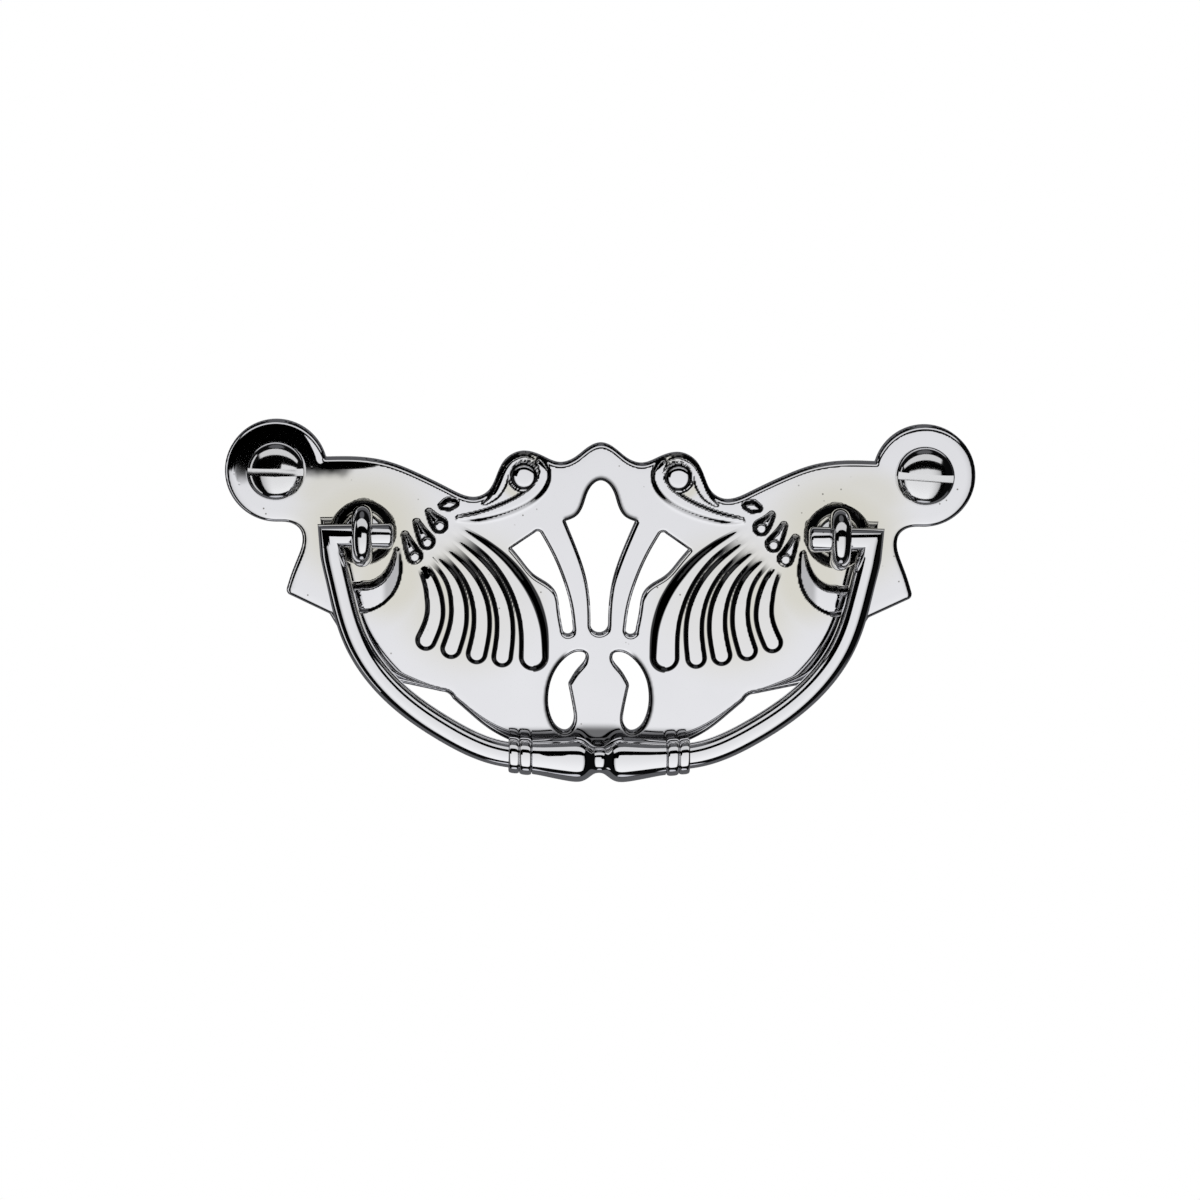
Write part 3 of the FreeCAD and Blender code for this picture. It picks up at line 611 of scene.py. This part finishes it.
def build_plate(material):
    """The casting: a fine grid that ends exactly on the outline and the openings, its walls and its flat back."""
    loops = plate_loops()
    low = np.vstack(loops).min(axis=0)
    high = np.vstack(loops).max(axis=0)
    xs = np.arange(0, high[0] + 2 * GRID, GRID)
    zs = np.arange(low[1] - GRID, high[1] + 2 * GRID, GRID) + 0.013
    within = inside(loops, xs + 1e-7, zs)
    samples = []
    for loop, is_opening in zip(loops, (0, 1, 1, 1, 1)):
        ahead = np.roll(loop, -1, axis=0) - np.roll(loop, 1, axis=0)
        ahead /= np.maximum(np.linalg.norm(ahead, axis=1), 1e-9)[:, None]
        keep = loop[:, 0] > 1e-6
        samples += [(q[0], q[1], a[0], a[1], is_opening) for q, a in zip(loop[keep], ahead[keep])]
    tree = kdtree.KDTree(len(samples))
    for index, sample in enumerate(samples):
        tree.insert((sample[0], sample[1], 0), index)
    tree.balance()
    gx, gz = np.meshgrid(xs, zs)
    signed = np.full(gx.shape, 9.0)
    away_x = np.zeros(gx.shape)
    away_z = np.zeros(gx.shape)
    opening = np.zeros(gx.shape, bool)
    reach = SHOULDER_WIDTH + 2 * GRID
    for row in range(len(zs)):
        for column in range(len(xs)):
            x, z = xs[column], zs[row]
            found = tree.find((x, z, 0))
            if found[2] < reach:
                sample = samples[found[1]]
                dx, dz = x - sample[0], z - sample[1]
                across = dx * -sample[3] + dz * sample[2]
                opening[row, column] = sample[4] == 1
                if abs(dx * sample[2] + dz * sample[3]) < BESIDE:
                    side = 1 if across > 0 else -1
                    signed[row, column] = abs(across)
                    away_x[row, column], away_z[row, column] = -sample[3] * side, sample[2] * side
                else:
                    signed[row, column] = found[2]
                    away_x[row, column], away_z[row, column] = dx / found[2], dz / found[2]
    signed = np.where(within, signed, -signed)
    flip = np.where(within, 1, -1)
    away_x *= flip
    away_z *= flip
    ornament = relief(gx, gz)
    step = 0.03
    slope_x = (relief(gx + step, gz) - relief(gx - step, gz)) / (2 * step)
    slope_z = (relief(gx, gz + step) - relief(gx, gz - step)) / (2 * step)
    drop, drop_slope = edge_drop(np.clip(signed, 0, None), opening)
    height = THICKNESS + ornament - drop
    tilt_x = slope_x - drop_slope * away_x
    tilt_z = slope_z - drop_slope * away_z
    crevice = crevices(gx, gz, ornament)
    rib_place, rib_share = rib_lines(gx, gz)
    # Painted dark reflection in the colour: steep flanks away from the ribs, a band along the foot standing for the
    # grip's dark side mirrored in the plate, lines along the kidney's outer edge and the middle opening's upper edge,
    # and part of the crescent's arm are turned nearly black
    flank = smooth_step((np.hypot(slope_x, slope_z) - 0.38) / 0.3)
    flank = np.where(rib_place > -0.4, 0, flank)
    painted_reflection_top = PAINTED_FOOT_REFLECTION[0] + (PAINTED_FOOT_REFLECTION[1] - PAINTED_FOOT_REFLECTION[0]) * smooth_step((gx - 1.5) / 3)
    flank = np.maximum(flank, 0.85 * smooth_step((painted_reflection_top - gz) / 1.1))
    painted_kidney_line = np.clip((PAINTED_OPENING_LINE - signed) / 0.25, 0, 1) * smooth_step((gx - 3.6) / 0.8)
    painted_middle_line = np.clip((PAINTED_OPENING_LINE - signed) / 0.25, 0, 1) * smooth_step((gz + 5.9) / 0.6) * smooth_step((4.6 - gx) / 0.5)
    flank = np.maximum(flank, np.where(opening & (gz < -20.5), painted_kidney_line, 0))
    flank = np.maximum(flank, np.where(opening, 0.9 * painted_middle_line, 0))
    on_crescent, _ = ridge(gx, gz, *CRESCENT, 0.6, 0.45, 0.12, lines=True)
    painted_crescent_arm = smooth_step(on_crescent / 0.4) * smooth_step((PAINTED_ARM_START - gx) / 0.8)
    flank = np.maximum(flank, 0.4 * painted_crescent_arm)

    points, normal, shade = [], [], []
    index = -np.ones(gx.shape, int)
    rim_depth = [THICKNESS - float(edge_drop(np.array(0.0), np.array(kind))[0]) for kind in (False, True)]
    for row, column in zip(*np.nonzero(within)):
        index[row, column] = len(points)
        points.append((xs[column], -height[row, column], zs[row]))
        normal.append((-tilt_x[row, column], -1, -tilt_z[row, column]))
        shade.append([field[row, column] for field in (crevice, flank, rib_place, rib_share)])
    edge_points = {}
    rim = []

    def crossing(r1, c1, r2, c2):
        key = (r1, c1, r2, c2) if within[r1, c1] else (r2, c2, r1, c1)
        if key in edge_points:
            return edge_points[key]
        r1, c1, r2, c2 = key
        t = signed[r1, c1] / (signed[r1, c1] - signed[r2, c2])
        t = min(max(t, 0.0), 1.0)
        x = xs[c1] + (xs[c2] - xs[c1]) * t
        z = zs[r1] + (zs[r2] - zs[r1]) * t
        _, found, _ = tree.find((x, z, 0))
        sample = samples[found]
        on_centre_line = c1 == 0 and c2 == 0
        if math.hypot(x - sample[0], z - sample[1]) < 0.1:
            x, z = 0.0 if on_centre_line else sample[0], sample[1]
        out_x, out_z = 0.0 if on_centre_line else sample[3], -sample[2]
        if out_x * (xs[c2] - xs[c1]) + out_z * (zs[r2] - zs[r1]) < 0:
            out_x, out_z = -out_x, -out_z
        edge_points[key] = len(points)
        points.append((x, -rim_depth[sample[4]], z))
        normal.append((out_x, -0.75 * sample[4] - 0.02, out_z))
        shade.append(NO_SHADE)
        return edge_points[key]

    faces = []
    for row in range(len(zs) - 1):
        for column in range(len(xs) - 1):
            corners = [(row, column), (row, column + 1), (row + 1, column + 1), (row + 1, column)]
            state = [within[c] for c in corners]
            if not any(state):
                continue
            if all(state):
                faces.append(tuple(index[c] for c in corners))
                continue
            polygon, cut = [], []
            for k in range(4):
                here, there = corners[k], corners[(k + 1) % 4]
                if within[here]:
                    polygon.append(index[here])
                if within[here] != within[there]:
                    point = crossing(*here, *there)
                    polygon.append(point)
                    cut.append((point, bool(within[here])))
            if len(polygon) > 2:
                faces.append(tuple(polygon))
            if len(cut) == 2 and cut[0][0] != cut[1][0]:
                leaving = [p for p, out in cut if out][0]
                entering = [p for p, out in cut if not out][0]
                rim.append((leaving, entering))
            elif len(cut) == 4:
                for a, b in ((0, 1), (2, 3)):
                    pair = (cut[a], cut[b])
                    leaving = [p for p, out in pair if out][0]
                    entering = [p for p, out in pair if not out][0]
                    rim.append((leaving, entering))
    return finish_plate(points, faces, normal, shade, rim, material)


def crevices(x, z, ornament):
    """Share of warm tone: between the ribs, round the eyes and the beads, beside the ears and under the crescents."""
    low = smooth_step(1 - ornament / 0.5)

    def halo(cx, cz, rx, rz):
        return smooth_step(1.5 - np.hypot((x - cx) / rx, (z - cz) / rz))

    fan = halo(15.2, -15.2, 7.5, 7.0) * (0.35 + 0.65 * low)
    around_eye = halo(EYE.x, EYE_Z + 0.5, 7.2, 6.2) * low
    under_crescent = halo(24.5, -12.5, 4.5, 4.5) * low
    by_ear = halo(31.0, -2.5, 4.5, 3.0)
    near_bead = np.hypot(x - BEAD_CENTRE[0], z - BEAD_CENTRE[1])
    by_bead = 0.8 * low * smooth_step(1 - np.abs(near_bead - BEAD_RADIUS - 0.7) / 1.0)
    return np.maximum.reduce([0.75 * fan, 0.85 * around_eye, 0.8 * under_crescent, 0.6 * by_ear, by_bead])


def finish_plate(points, faces, normal, shade, rim, material):
    """Mirrors the front, adds the walls and the back with the countersinks, and sets every corner's normal."""
    count = len(points)
    mirror = {}
    all_points, all_normals, all_shade = list(points), list(normal), list(shade)
    for k, (x, y, z) in enumerate(points):
        if abs(x) < 1e-6:
            mirror[k] = k
            nx, ny, nz = all_normals[k]
            all_normals[k] = (0.0, ny, nz)
        else:
            mirror[k] = len(all_points)
            all_points.append((-x, y, z))
            nx, ny, nz = normal[k]
            all_normals.append((-nx, ny, nz))
            all_shade.append(shade[k])
    all_faces = list(faces) + [tuple(mirror[k] for k in face[::-1]) for face in faces]
    corner_normals = [all_normals[k] for face in all_faces for k in face]
    all_rim = [(a, b) for a, b in rim if not (abs(points[a][0]) < 1e-6 and abs(points[b][0]) < 1e-6)]
    all_rim += [(mirror[b], mirror[a]) for a, b in all_rim]
    below = {}
    for a, b in all_rim:
        for k in (a, b):
            if k not in below:
                below[k] = len(all_points)
                x, y, z = all_points[k]
                all_points.append((x, 0.0, z))
                all_shade.append(NO_SHADE)
    for a, b in all_rim:
        all_faces.append((b, a, below[a], below[b]))
        na, nb = all_normals[a], all_normals[b]
        flat = [(na[0], 0, na[2]), (nb[0], 0, nb[2])]
        corner_normals += [flat[1], flat[0], flat[0], flat[1]]
    following = {below[a]: below[b] for a, b in all_rim}
    loops = []
    while following:
        start, here = following.popitem()
        loop = [start]
        while here != start and here in following:
            loop.append(here)
            here = following.pop(here)
        loops.append(loop)
    loops.sort(key=len, reverse=True)
    sinks, sink_faces, sink_normals = countersinks(len(all_points))
    ring_size = len(sinks) // 8
    all_points += sinks
    all_shade += [NO_SHADE] * len(sinks)
    base = len(all_points) - len(sinks)
    for side in range(2):
        first = base + side * 4 * ring_size
        loops.append(list(range(first, first + ring_size)))
    for a, b, c in back_triangles(all_points, loops):
        all_faces.append((a, b, c))
        corner_normals += [(0, 1, 0)] * 3
    all_faces += sink_faces
    corner_normals += sink_normals
    return make_object("plate_casting", all_points, all_faces, material, "plate", "back_plate", "plated_casting",
                       normals=corner_normals, attribute=all_shade)


def back_triangles(points, loops):
    """Triangles of the flat back between its closed loops of point numbers, facing backwards."""
    order = [k for loop in loops for k in loop]
    edges = []
    for loop in loops:
        first = len(edges)
        edges += [(first + k, first + (k + 1) % len(loop)) for k in range(len(loop))]
    flat = [Vector((points[k][0], points[k][2])) for k in order]
    made, _, triangles, from_points, _, _ = delaunay_2d_cdt(flat, edges, [], 0, 1e-5)
    ends = np.array([[*flat[a], *flat[b]] for a, b in edges])
    result = []
    for triangle in triangles:
        x, z = sum((made[k] for k in triangle), Vector((0, 0))) / 3
        crossed = (ends[:, 1] > z) != (ends[:, 3] > z)
        a = ends[crossed]
        if np.count_nonzero(a[:, 0] + (z - a[:, 1]) / (a[:, 3] - a[:, 1]) * (a[:, 2] - a[:, 0]) > x) % 2 == 0:
            continue
        if not all(from_points[k] for k in triangle):
            continue
        p, q, r = (made[k] for k in triangle)
        a, b, c = (order[from_points[k][0]] for k in triangle)
        turn = (q.x - p.x) * (r.y - p.y) - (q.y - p.y) * (r.x - p.x)
        result.append((a, b, c) if turn < 0 else (a, c, b))
    return result


def countersinks(base):
    """Conical seats of the riveted ends in the back of the plate, with a shallow floor."""
    points, faces, normals = [], [], []
    segments = 64
    for side in (-1, 1):
        first = base + len(points) + segments
        for depth, radius in ((0.0, RIVET_SEAT), (0.0, RIVET_SEAT), (RIVET_DEPTH, SHANK_RADIUS + 0.05),
                              (RIVET_DEPTH + 0.3, SHANK_RADIUS + 0.05)):
            for k in range(segments):
                turn = 2 * math.pi * k / segments
                points.append((side * EYE.x + radius * math.cos(turn), -depth, EYE_Z + radius * math.sin(turn)))
        for ring in range(2):
            for k in range(segments):
                after = (k + 1) % segments
                a, b = first + ring * segments + k, first + ring * segments + after
                faces.append((a, b, b + segments, a + segments))
                for point in (k, after, after, k):
                    turn = 2 * math.pi * point / segments
                    lean = 0.7 if ring == 0 else 0.0
                    normals.append((-math.cos(turn), lean, -math.sin(turn)))
        floor = tuple(first + 2 * segments + k for k in range(segments))
        faces.append(floor)
        normals += [(0, 1, 0)] * segments
    return points, faces, normals


# Eyes, screws and bail

def circle_points(centre, radius, start, end, steps):
    return [(centre[0] + radius * math.cos(a), centre[1] + radius * math.sin(a))
            for a in np.linspace(math.radians(start), math.radians(end), steps)]


def build_eye(side, sign, material):
    """A ring on a turned neck, with its shoulder on the seat and its riveted end in the back of the plate."""
    half = RING_WIDTH / 2
    out = RING_RADIUS - half
    start = math.degrees(math.asin((RING_BORE - out) / half))
    section = circle_points((0, out), half, start, 180 - start, 25)
    section = [(along, radius) for along, radius in section]
    x0 = sign * EYE.x

    def ring_place(along, a, b):
        return (x0 + along, HINGE.y + a, EYE_Z + b)

    ring = lathe(section + [section[0]], 96, ring_place, closed_ends=False)
    neck = 1.15
    seat = -HINGE.y - THICKNESS + DISH_DEPTH + 0.05
    end = -HINGE.y - 0.15
    shoulder = [
        (2.3, neck), (2.75, neck * 0.98), (3.2, neck * 1.05), (3.6, 1.5), (3.85, 1.95), (4.05, COLLAR_RADIUS - 0.12),
        (4.2, COLLAR_RADIUS - 0.02), (4.35, COLLAR_RADIUS), (seat, COLLAR_RADIUS), (seat + 0.05, SHANK_RADIUS),
        (-HINGE.y - RIVET_DEPTH, SHANK_RADIUS), (end - 0.08, RIVET_SEAT - 0.2), (end, RIVET_SEAT - 0.32), (end + 0.03, 0),
    ]

    def post_place(along, a, b):
        return (x0 + b, HINGE.y + along, EYE_Z + a)

    post = lathe(shoulder, 64, post_place)
    points, faces = merged(ring, post)
    return make_object(f"{side}_ring_eye", points, faces, material, "plate", f"{side}_eye_post", "plated_eye", angle=50)


def build_screw(side, sign, material):
    """A round-headed wood screw: domed head with its slot, plain shank, thread and gimlet point."""
    x0 = sign * SCREW.x
    tilt = math.radians(SLOT_TILTS[side])

    def place(along, a, b):
        return (x0 + a, -THICKNESS + along, b)

    crown = [(-HEAD_HEIGHT * math.cos(t) ** 0.72, HEAD_RADIUS * math.sin(t) ** 0.9)
             for t in np.linspace(0, math.pi / 2 - 0.08, 24)]
    crown[0] = (-HEAD_HEIGHT, 0)
    head = lathe(crown + [(-0.06, HEAD_RADIUS), (0, HEAD_RADIUS - 0.06), (0, 1.75)], 96, place)
    head_object = make_object(f"{side}_screw_head", *head, material, "plate", None, "plated_screw")
    cutter_mesh = bpy.data.meshes.new("slot")
    across, half = HEAD_RADIUS * 1.5, SLOT_WIDTH / 2
    corners = []
    for y in (-HEAD_HEIGHT - 1, -HEAD_HEIGHT + SLOT_DEPTH):
        for a, b in ((-across, -half), (across, -half), (across, half), (-across, half)):
            turned = (a * math.cos(tilt) + b * math.sin(tilt), -a * math.sin(tilt) + b * math.cos(tilt))
            corners.append(((x0 + turned[0]) * MM, (-THICKNESS + y) * MM, turned[1] * MM))
    cutter_mesh.from_pydata(corners, [], [(0, 1, 2, 3), (7, 6, 5, 4), (0, 4, 5, 1), (1, 5, 6, 2), (2, 6, 7, 3), (3, 7, 4, 0)])
    cutter = bpy.data.objects.new("slot_cutter", cutter_mesh)
    bpy.context.scene.collection.objects.link(cutter)
    cut = head_object.modifiers.new("slot", "BOOLEAN")
    cut.operation = "DIFFERENCE"
    cut.solver = "EXACT"
    cut.object = cutter
    soften = head_object.modifiers.new("soften", "BEVEL")
    soften.width = SLOT_EDGE * MM
    soften.segments = 5
    soften.limit_method = "ANGLE"
    soften.angle_limit = math.radians(40)
    apply_modifiers(head_object)
    bpy.data.objects.remove(cutter)
    head_object.data.set_sharp_from_angle(angle=math.radians(35))
    shank = build_shank(place)
    shank_object = make_object(f"{side}_screw_shank", *shank, material, "plate", None, "plated_screw", angle=60)
    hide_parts(f"{side}_fixing_screw")
    return head_object, shank_object


def apply_modifiers(piece):
    graph = bpy.context.evaluated_depsgraph_get()
    made = bpy.data.meshes.new_from_object(piece.evaluated_get(graph))
    piece.modifiers.clear()
    piece.data = made


def build_shank(place):
    """Plain shank, then a helical thread about the core that fades into the point."""
    plain_end, tip, taper = 5.0, 16.0, 4.0
    shank = lathe([(-0.02, 1.75), (plain_end - 0.3, 1.75), (plain_end, 1.5), (plain_end + 0.4, THREAD_CORE),
                   (tip - taper, THREAD_CORE), (tip - 0.25, 0.12), (tip, 0)], 40, place)
    points, faces = [], []
    segments = 28
    turns = (tip - plain_end - 0.75) / THREAD_PITCH
    total = int(turns * segments)
    for k in range(total + 1):
        angle = 2 * math.pi * k / segments
        along = plain_end + 0.3 + THREAD_PITCH * k / segments
        core = THREAD_CORE if along < tip - taper else THREAD_CORE * max((tip - along) / taper, 0.03)
        crest = core + (THREAD_CREST - THREAD_CORE) * min(1, 4 * k / total, 2.5 * (1 - k / total) + 0.05)
        for offset, radius in ((-0.36, core - 0.05), (-0.06, crest), (0.06, crest), (0.36, core - 0.05)):
            points.append(place(along + offset, radius * math.cos(angle), radius * math.sin(angle)))
    for k in range(total):
        for row in range(3):
            a = 4 * k + row
            faces.append((a, a + 1, a + 5, a + 4))
    faces.append((3, 2, 1, 0))
    last = 4 * total
    faces.append((last, last + 1, last + 2, last + 3))
    return merged(shank, (points, faces))


def build_bail(material):
    """The rod with its pins and square corners, and the turned grip."""
    limb = cubic([(share * LIMB_HALF, -fall * BAIL_DROP) for share, fall in LIMB], step=0.5)
    pin_end = EYE.x - RING_WIDTH / 2 - PIN_OVERHANG
    segments = 40
    rings = []
    for t in np.linspace(0, math.pi / 2, 7):
        rings.append((Vector((pin_end + PIN_END_ROUND * (1 - math.sin(t)), 0, 0)), Vector((1, 0, 0)),
                      ROD - PIN_END_ROUND * (1 - math.cos(t))))
    rings = rings[::-1]
    rings.sort(key=lambda ring: ring[0].x)
    rings.append((Vector((LIMB_HALF, 0, 0)), None, ROD))
    ahead = [Vector((limb[k + 1][0] - limb[k - 1][0], 0, limb[k + 1][1] - limb[k - 1][1])).normalized()
             for k in range(1, len(limb) - 1)]
    ahead = [ahead[0]] + ahead + [ahead[-1]]
    for k in range(1, len(limb)):
        if limb[0][1] - limb[k][1] > ROD + 0.2:
            rings.append((Vector((limb[k][0], 0, limb[k][1])), ahead[k], ROD))
    points, faces = [], []
    for number, (centre, direction, radius) in enumerate(rings):
        for k in range(segments):
            turn = 2 * math.pi * k / segments
            depth, out = -math.cos(turn) * radius, math.sin(turn) * radius
            if direction is None:
                lean = ahead[0]
                offset = Vector((out, depth, out * (1 + lean.x) / -lean.z * 1.0))
            else:
                side = Vector((-direction.z, 0, direction.x))
                offset = side * out + Vector((0, depth, 0))
            points.append(offset + centre)
    count = len(rings)
    for number in range(count - 1):
        for k in range(segments):
            after = (k + 1) % segments
            a, b = number * segments, (number + 1) * segments
            faces.append((a + k, a + after, b + after, b + k))
    faces.append(tuple(range(segments))[::-1])
    faces.append(tuple(range((count - 1) * segments, count * segments)))
    half_rod = (points, faces)
    flipped = ([Vector((-p.x, p.y, p.z)) for p in points], [face[::-1] for face in faces])
    profile = list(GRIP)
    for start, width, radius in GRIP_BEADS:
        for t in np.linspace(0, math.pi, 17):
            swell = (1 - abs(math.cos(t)) ** BEAD_SHAPE) ** (1 / BEAD_SHAPE)
            profile.append((start + width * (1 - math.cos(t)) / 2, GRIP_NECK + (radius - GRIP_NECK) * swell))
    fine = refine(profile)
    whole = [(-along, radius) for along, radius in fine[::-1]] + fine[1:]

    def grip_place(along, a, b):
        return Vector((along, a, -BAIL_DROP + b + GRIP_BEND * along ** 2))

    grip = lathe(whole, 72, grip_place)
    points, faces = merged(half_rod, flipped, grip)
    placed = [(p[0], p[1] + HINGE.y, p[2] + EYE_Z) for p in points]
    return make_object("bail_rod_and_grip", placed, faces, material, "bail", "bail_handle", "plated_bail", angle=50)


def refine(profile):
    """The tulip's part of the profile as a smooth line, the beads as they are."""
    tulip = [q for q in profile if q[0] <= GRIP[-1][0] + 1e-9]
    smooth = cubic(tulip, step=0.2)
    rest = [q for q in profile if q[0] > GRIP[-1][0] + 1e-9]
    return [tuple(q) for q in smooth] + rest


# Studio

def math_node(tree, kind, first, second=None):
    node = node_of(tree, "ShaderNodeMath", operation=kind)
    for slot, value in enumerate((first, second)):
        if value is None:
            continue
        if isinstance(value, (int, float)):
            node.inputs[slot].default_value = value
        else:
            tree.links.new(value, node.inputs[slot])
    return node.outputs[0]


def ramp(tree, value, low, high, from_value=0.0, to_value=1.0):
    """A soft change from one value to another between two limits."""
    node = node_of(tree, "ShaderNodeMapRange", interpolation_type="SMOOTHSTEP")
    tree.links.new(value, node.inputs["Value"])
    limits = ((low, high), (from_value, to_value)) if low < high else ((high, low), (to_value, from_value))
    node.inputs["From Min"].default_value, node.inputs["From Max"].default_value = limits[0]
    node.inputs["To Min"].default_value, node.inputs["To Max"].default_value = limits[1]
    return node.outputs[0]


def product(tree, *values):
    result = values[0]
    for value in values[1:]:
        result = math_node(tree, "MULTIPLY", result, value)
    return result


def build_world():
    """White for the eye; in reflections a dark room, slate grey behind the pull and a thin pale line below."""
    world = bpy.data.worlds.new("studio")
    bpy.context.scene.world = world
    world.use_nodes = True
    tree = world.node_tree
    tree.nodes.clear()
    out = node_of(tree, "ShaderNodeOutputWorld")
    place = node_of(tree, "ShaderNodeTexCoord")
    split = node_of(tree, "ShaderNodeSeparateXYZ")
    tree.links.new(place.outputs["Generated"], split.inputs[0])
    x, y, z = split.outputs
    around = math_node(tree, "MAXIMUM", ramp(tree, y, *SLATE_BEHIND), ramp(tree, z, *SLATE_ABOVE))
    around = math_node(tree, "MAXIMUM", around, product(tree, ramp(tree, y, *SLATE_BELOW), ramp(tree, z, -0.5, -0.6)))
    slate = product(tree, around, SLATE_LEVEL)
    low_line = product(tree, ramp(tree, z, *LINE_TOP), ramp(tree, y, *LINE_BACK))
    light = math_node(tree, "ADD", slate, product(tree, low_line, LINE_LEVEL))
    light = math_node(tree, "ADD", light, ROOM_LEVEL)
    seen = node_of(tree, "ShaderNodeLightPath")
    glow = node_of(tree, "ShaderNodeBackground")
    glow.inputs["Color"].default_value = (0.93, 0.94, 1.0, 1)
    tree.links.new(light, glow.inputs["Strength"])
    plain = node_of(tree, "ShaderNodeBackground")
    plain.inputs["Color"].default_value = (1, 1, 1, 1)
    plain.inputs["Strength"].default_value = 1.0
    mix = node_of(tree, "ShaderNodeMixShader")
    tree.links.new(seen.outputs["Is Camera Ray"], mix.inputs[0])
    tree.links.new(glow.outputs[0], mix.inputs[1])
    tree.links.new(plain.outputs[0], mix.inputs[2])
    tree.links.new(mix.outputs[0], out.inputs["Surface"])


def build_panel(name, corners, mask):
    """A lit sheet that only reflections see; mask gets the shader's tree and the place on the sheet in metres."""
    mesh = bpy.data.meshes.new(name)
    mesh.from_pydata([tuple(c * MM for c in corner) for corner in corners], [], [(0, 1, 2, 3)])
    panel = bpy.data.objects.new(name, mesh)
    bpy.context.scene.collection.objects.link(panel)
    material = bpy.data.materials.new(name)
    material.use_nodes = True
    tree = material.node_tree
    tree.nodes.clear()
    out = node_of(tree, "ShaderNodeOutputMaterial")
    place = node_of(tree, "ShaderNodeTexCoord")
    split = node_of(tree, "ShaderNodeSeparateXYZ")
    tree.links.new(place.outputs["Object"], split.inputs[0])
    glow = node_of(tree, "ShaderNodeEmission")
    glow.inputs["Color"].default_value = (0.985, 0.988, 1.0, 1)
    tree.links.new(mask(tree, *split.outputs), glow.inputs["Strength"])
    tree.links.new(glow.outputs[0], out.inputs["Surface"])
    mesh.materials.append(material)
    panel.visible_camera = False
    panel.visible_shadow = False


def front_mask(tree, x, y, z):
    """Bright in the middle, fading to its sides, with a sloping upper edge that leaves the upper left dark."""
    noise = node_of(tree, "ShaderNodeTexNoise")
    noise.inputs["Scale"].default_value = 55
    noise.inputs["Detail"].default_value = 3
    rough = product(tree, math_node(tree, "SUBTRACT", noise.outputs["Fac"], 0.5), 0.006)
    edge = ramp(tree, x, *FRONT_CLIMB, *FRONT_TOP)
    over = math_node(tree, "ADD", math_node(tree, "SUBTRACT", z, edge), rough)
    top = ramp(tree, over, 0.0012, -0.0012)
    bottom = ramp(tree, z, FRONT_BOTTOM - 0.006, FRONT_BOTTOM + 0.006)
    left = ramp(tree, x, FRONT_LEFT - 0.003, FRONT_LEFT + 0.003)
    right = ramp(tree, x, FRONT_RIGHT + 0.003, FRONT_RIGHT - 0.003)
    left_fade = ramp(tree, x, FRONT_LEFT - 0.01, FRONT_LEFT + 0.05, 0.5, 1.0)
    right_fade = ramp(tree, x, FRONT_RIGHT + 0.01, FRONT_RIGHT - 0.05, 0.5, 1.0)
    lower_is_brighter = ramp(tree, z, 0.03, -0.12, 0.9, 1.1)
    return product(tree, top, bottom, left, right, left_fade, right_fade, lower_is_brighter, FRONT_LEVEL)


def strip_mask(tree, x, y, z):
    return product(tree, ramp(tree, x, -0.12, -0.1), ramp(tree, x, 0.12, 0.1), STRIP_LEVEL)


def side_mask(tree, x, y, z):
    return product(tree, ramp(tree, z, 0.06, 0.05), SIDE_LEVEL)


def build_panels():
    front = FRONT_PLACE
    build_panel("front_light", [(-160, front, -200), (160, front, -200), (160, front, 60), (-160, front, 60)], front_mask)
    build_panel("upper_light", STRIP_CORNERS, strip_mask)
    build_panel("left_light", SIDE_CORNERS, side_mask)


def build_camera():
    azimuth, elevation = math.radians(VIEW_AZIMUTH), math.radians(VIEW_ELEVATION)
    back = Vector((math.sin(azimuth) * math.cos(elevation), -math.cos(azimuth) * math.cos(elevation), math.sin(elevation)))
    data = bpy.data.cameras.new("camera")
    data.sensor_width = 36
    data.lens = 36 * VIEW_DISTANCE / VIEW_WIDTH
    data.clip_start = 0.01
    camera = bpy.data.objects.new("camera", data)
    bpy.context.scene.collection.objects.link(camera)
    turn = (-back).to_track_quat("-Z", "Y").to_matrix() @ Matrix.Rotation(math.radians(-VIEW_ROLL), 3, "Z")
    camera.matrix_world = Matrix.Translation((Vector(VIEW_AIM) + back * VIEW_DISTANCE) * MM) @ turn.to_4x4()
    bpy.context.scene.camera = camera


def build_floor():
    mesh = bpy.data.meshes.new("floor")
    half, level = 3.0, -0.16
    mesh.from_pydata([(-half, -half, level), (half, -half, level), (half, half, level), (-half, half, level)], [], [(0, 1, 2, 3)])
    floor = bpy.data.objects.new("floor", mesh)
    bpy.context.scene.collection.objects.link(floor)
    material = bpy.data.materials.new("pale_floor")
    material.use_nodes = True
    shader = material.node_tree.nodes["Principled BSDF"]
    shader.inputs["Base Color"].default_value = (0, 0, 0, 1)
    shader.inputs["Specular IOR Level"].default_value = 0
    shader.inputs["Emission Color"].default_value = (1, 1, 1, 1)
    shader.inputs["Emission Strength"].default_value = 1.0
    mesh.materials.append(material)
    floor.visible_glossy = False


casting = chrome("casting_chrome", (0.80, 0.80, 0.82), 0.03, crevices=True)
plain_chrome = chrome("bail_chrome", (0.80, 0.80, 0.815), 0.03)
eye_chrome = chrome("eye_chrome", (0.76, 0.76, 0.765), 0.06)
screw_chrome = chrome("screw_chrome", (0.76, 0.76, 0.765), 0.08)
build_plate(casting)
build_bail(plain_chrome)
for eye_side, eye_sign in (("left", -1), ("right", 1)):
    build_eye(eye_side, eye_sign, eye_chrome)
    build_screw(eye_side, eye_sign, screw_chrome)
build_world()
build_panels()
build_floor()
build_camera()
bpy.context.scene.view_settings.view_transform = "Standard"
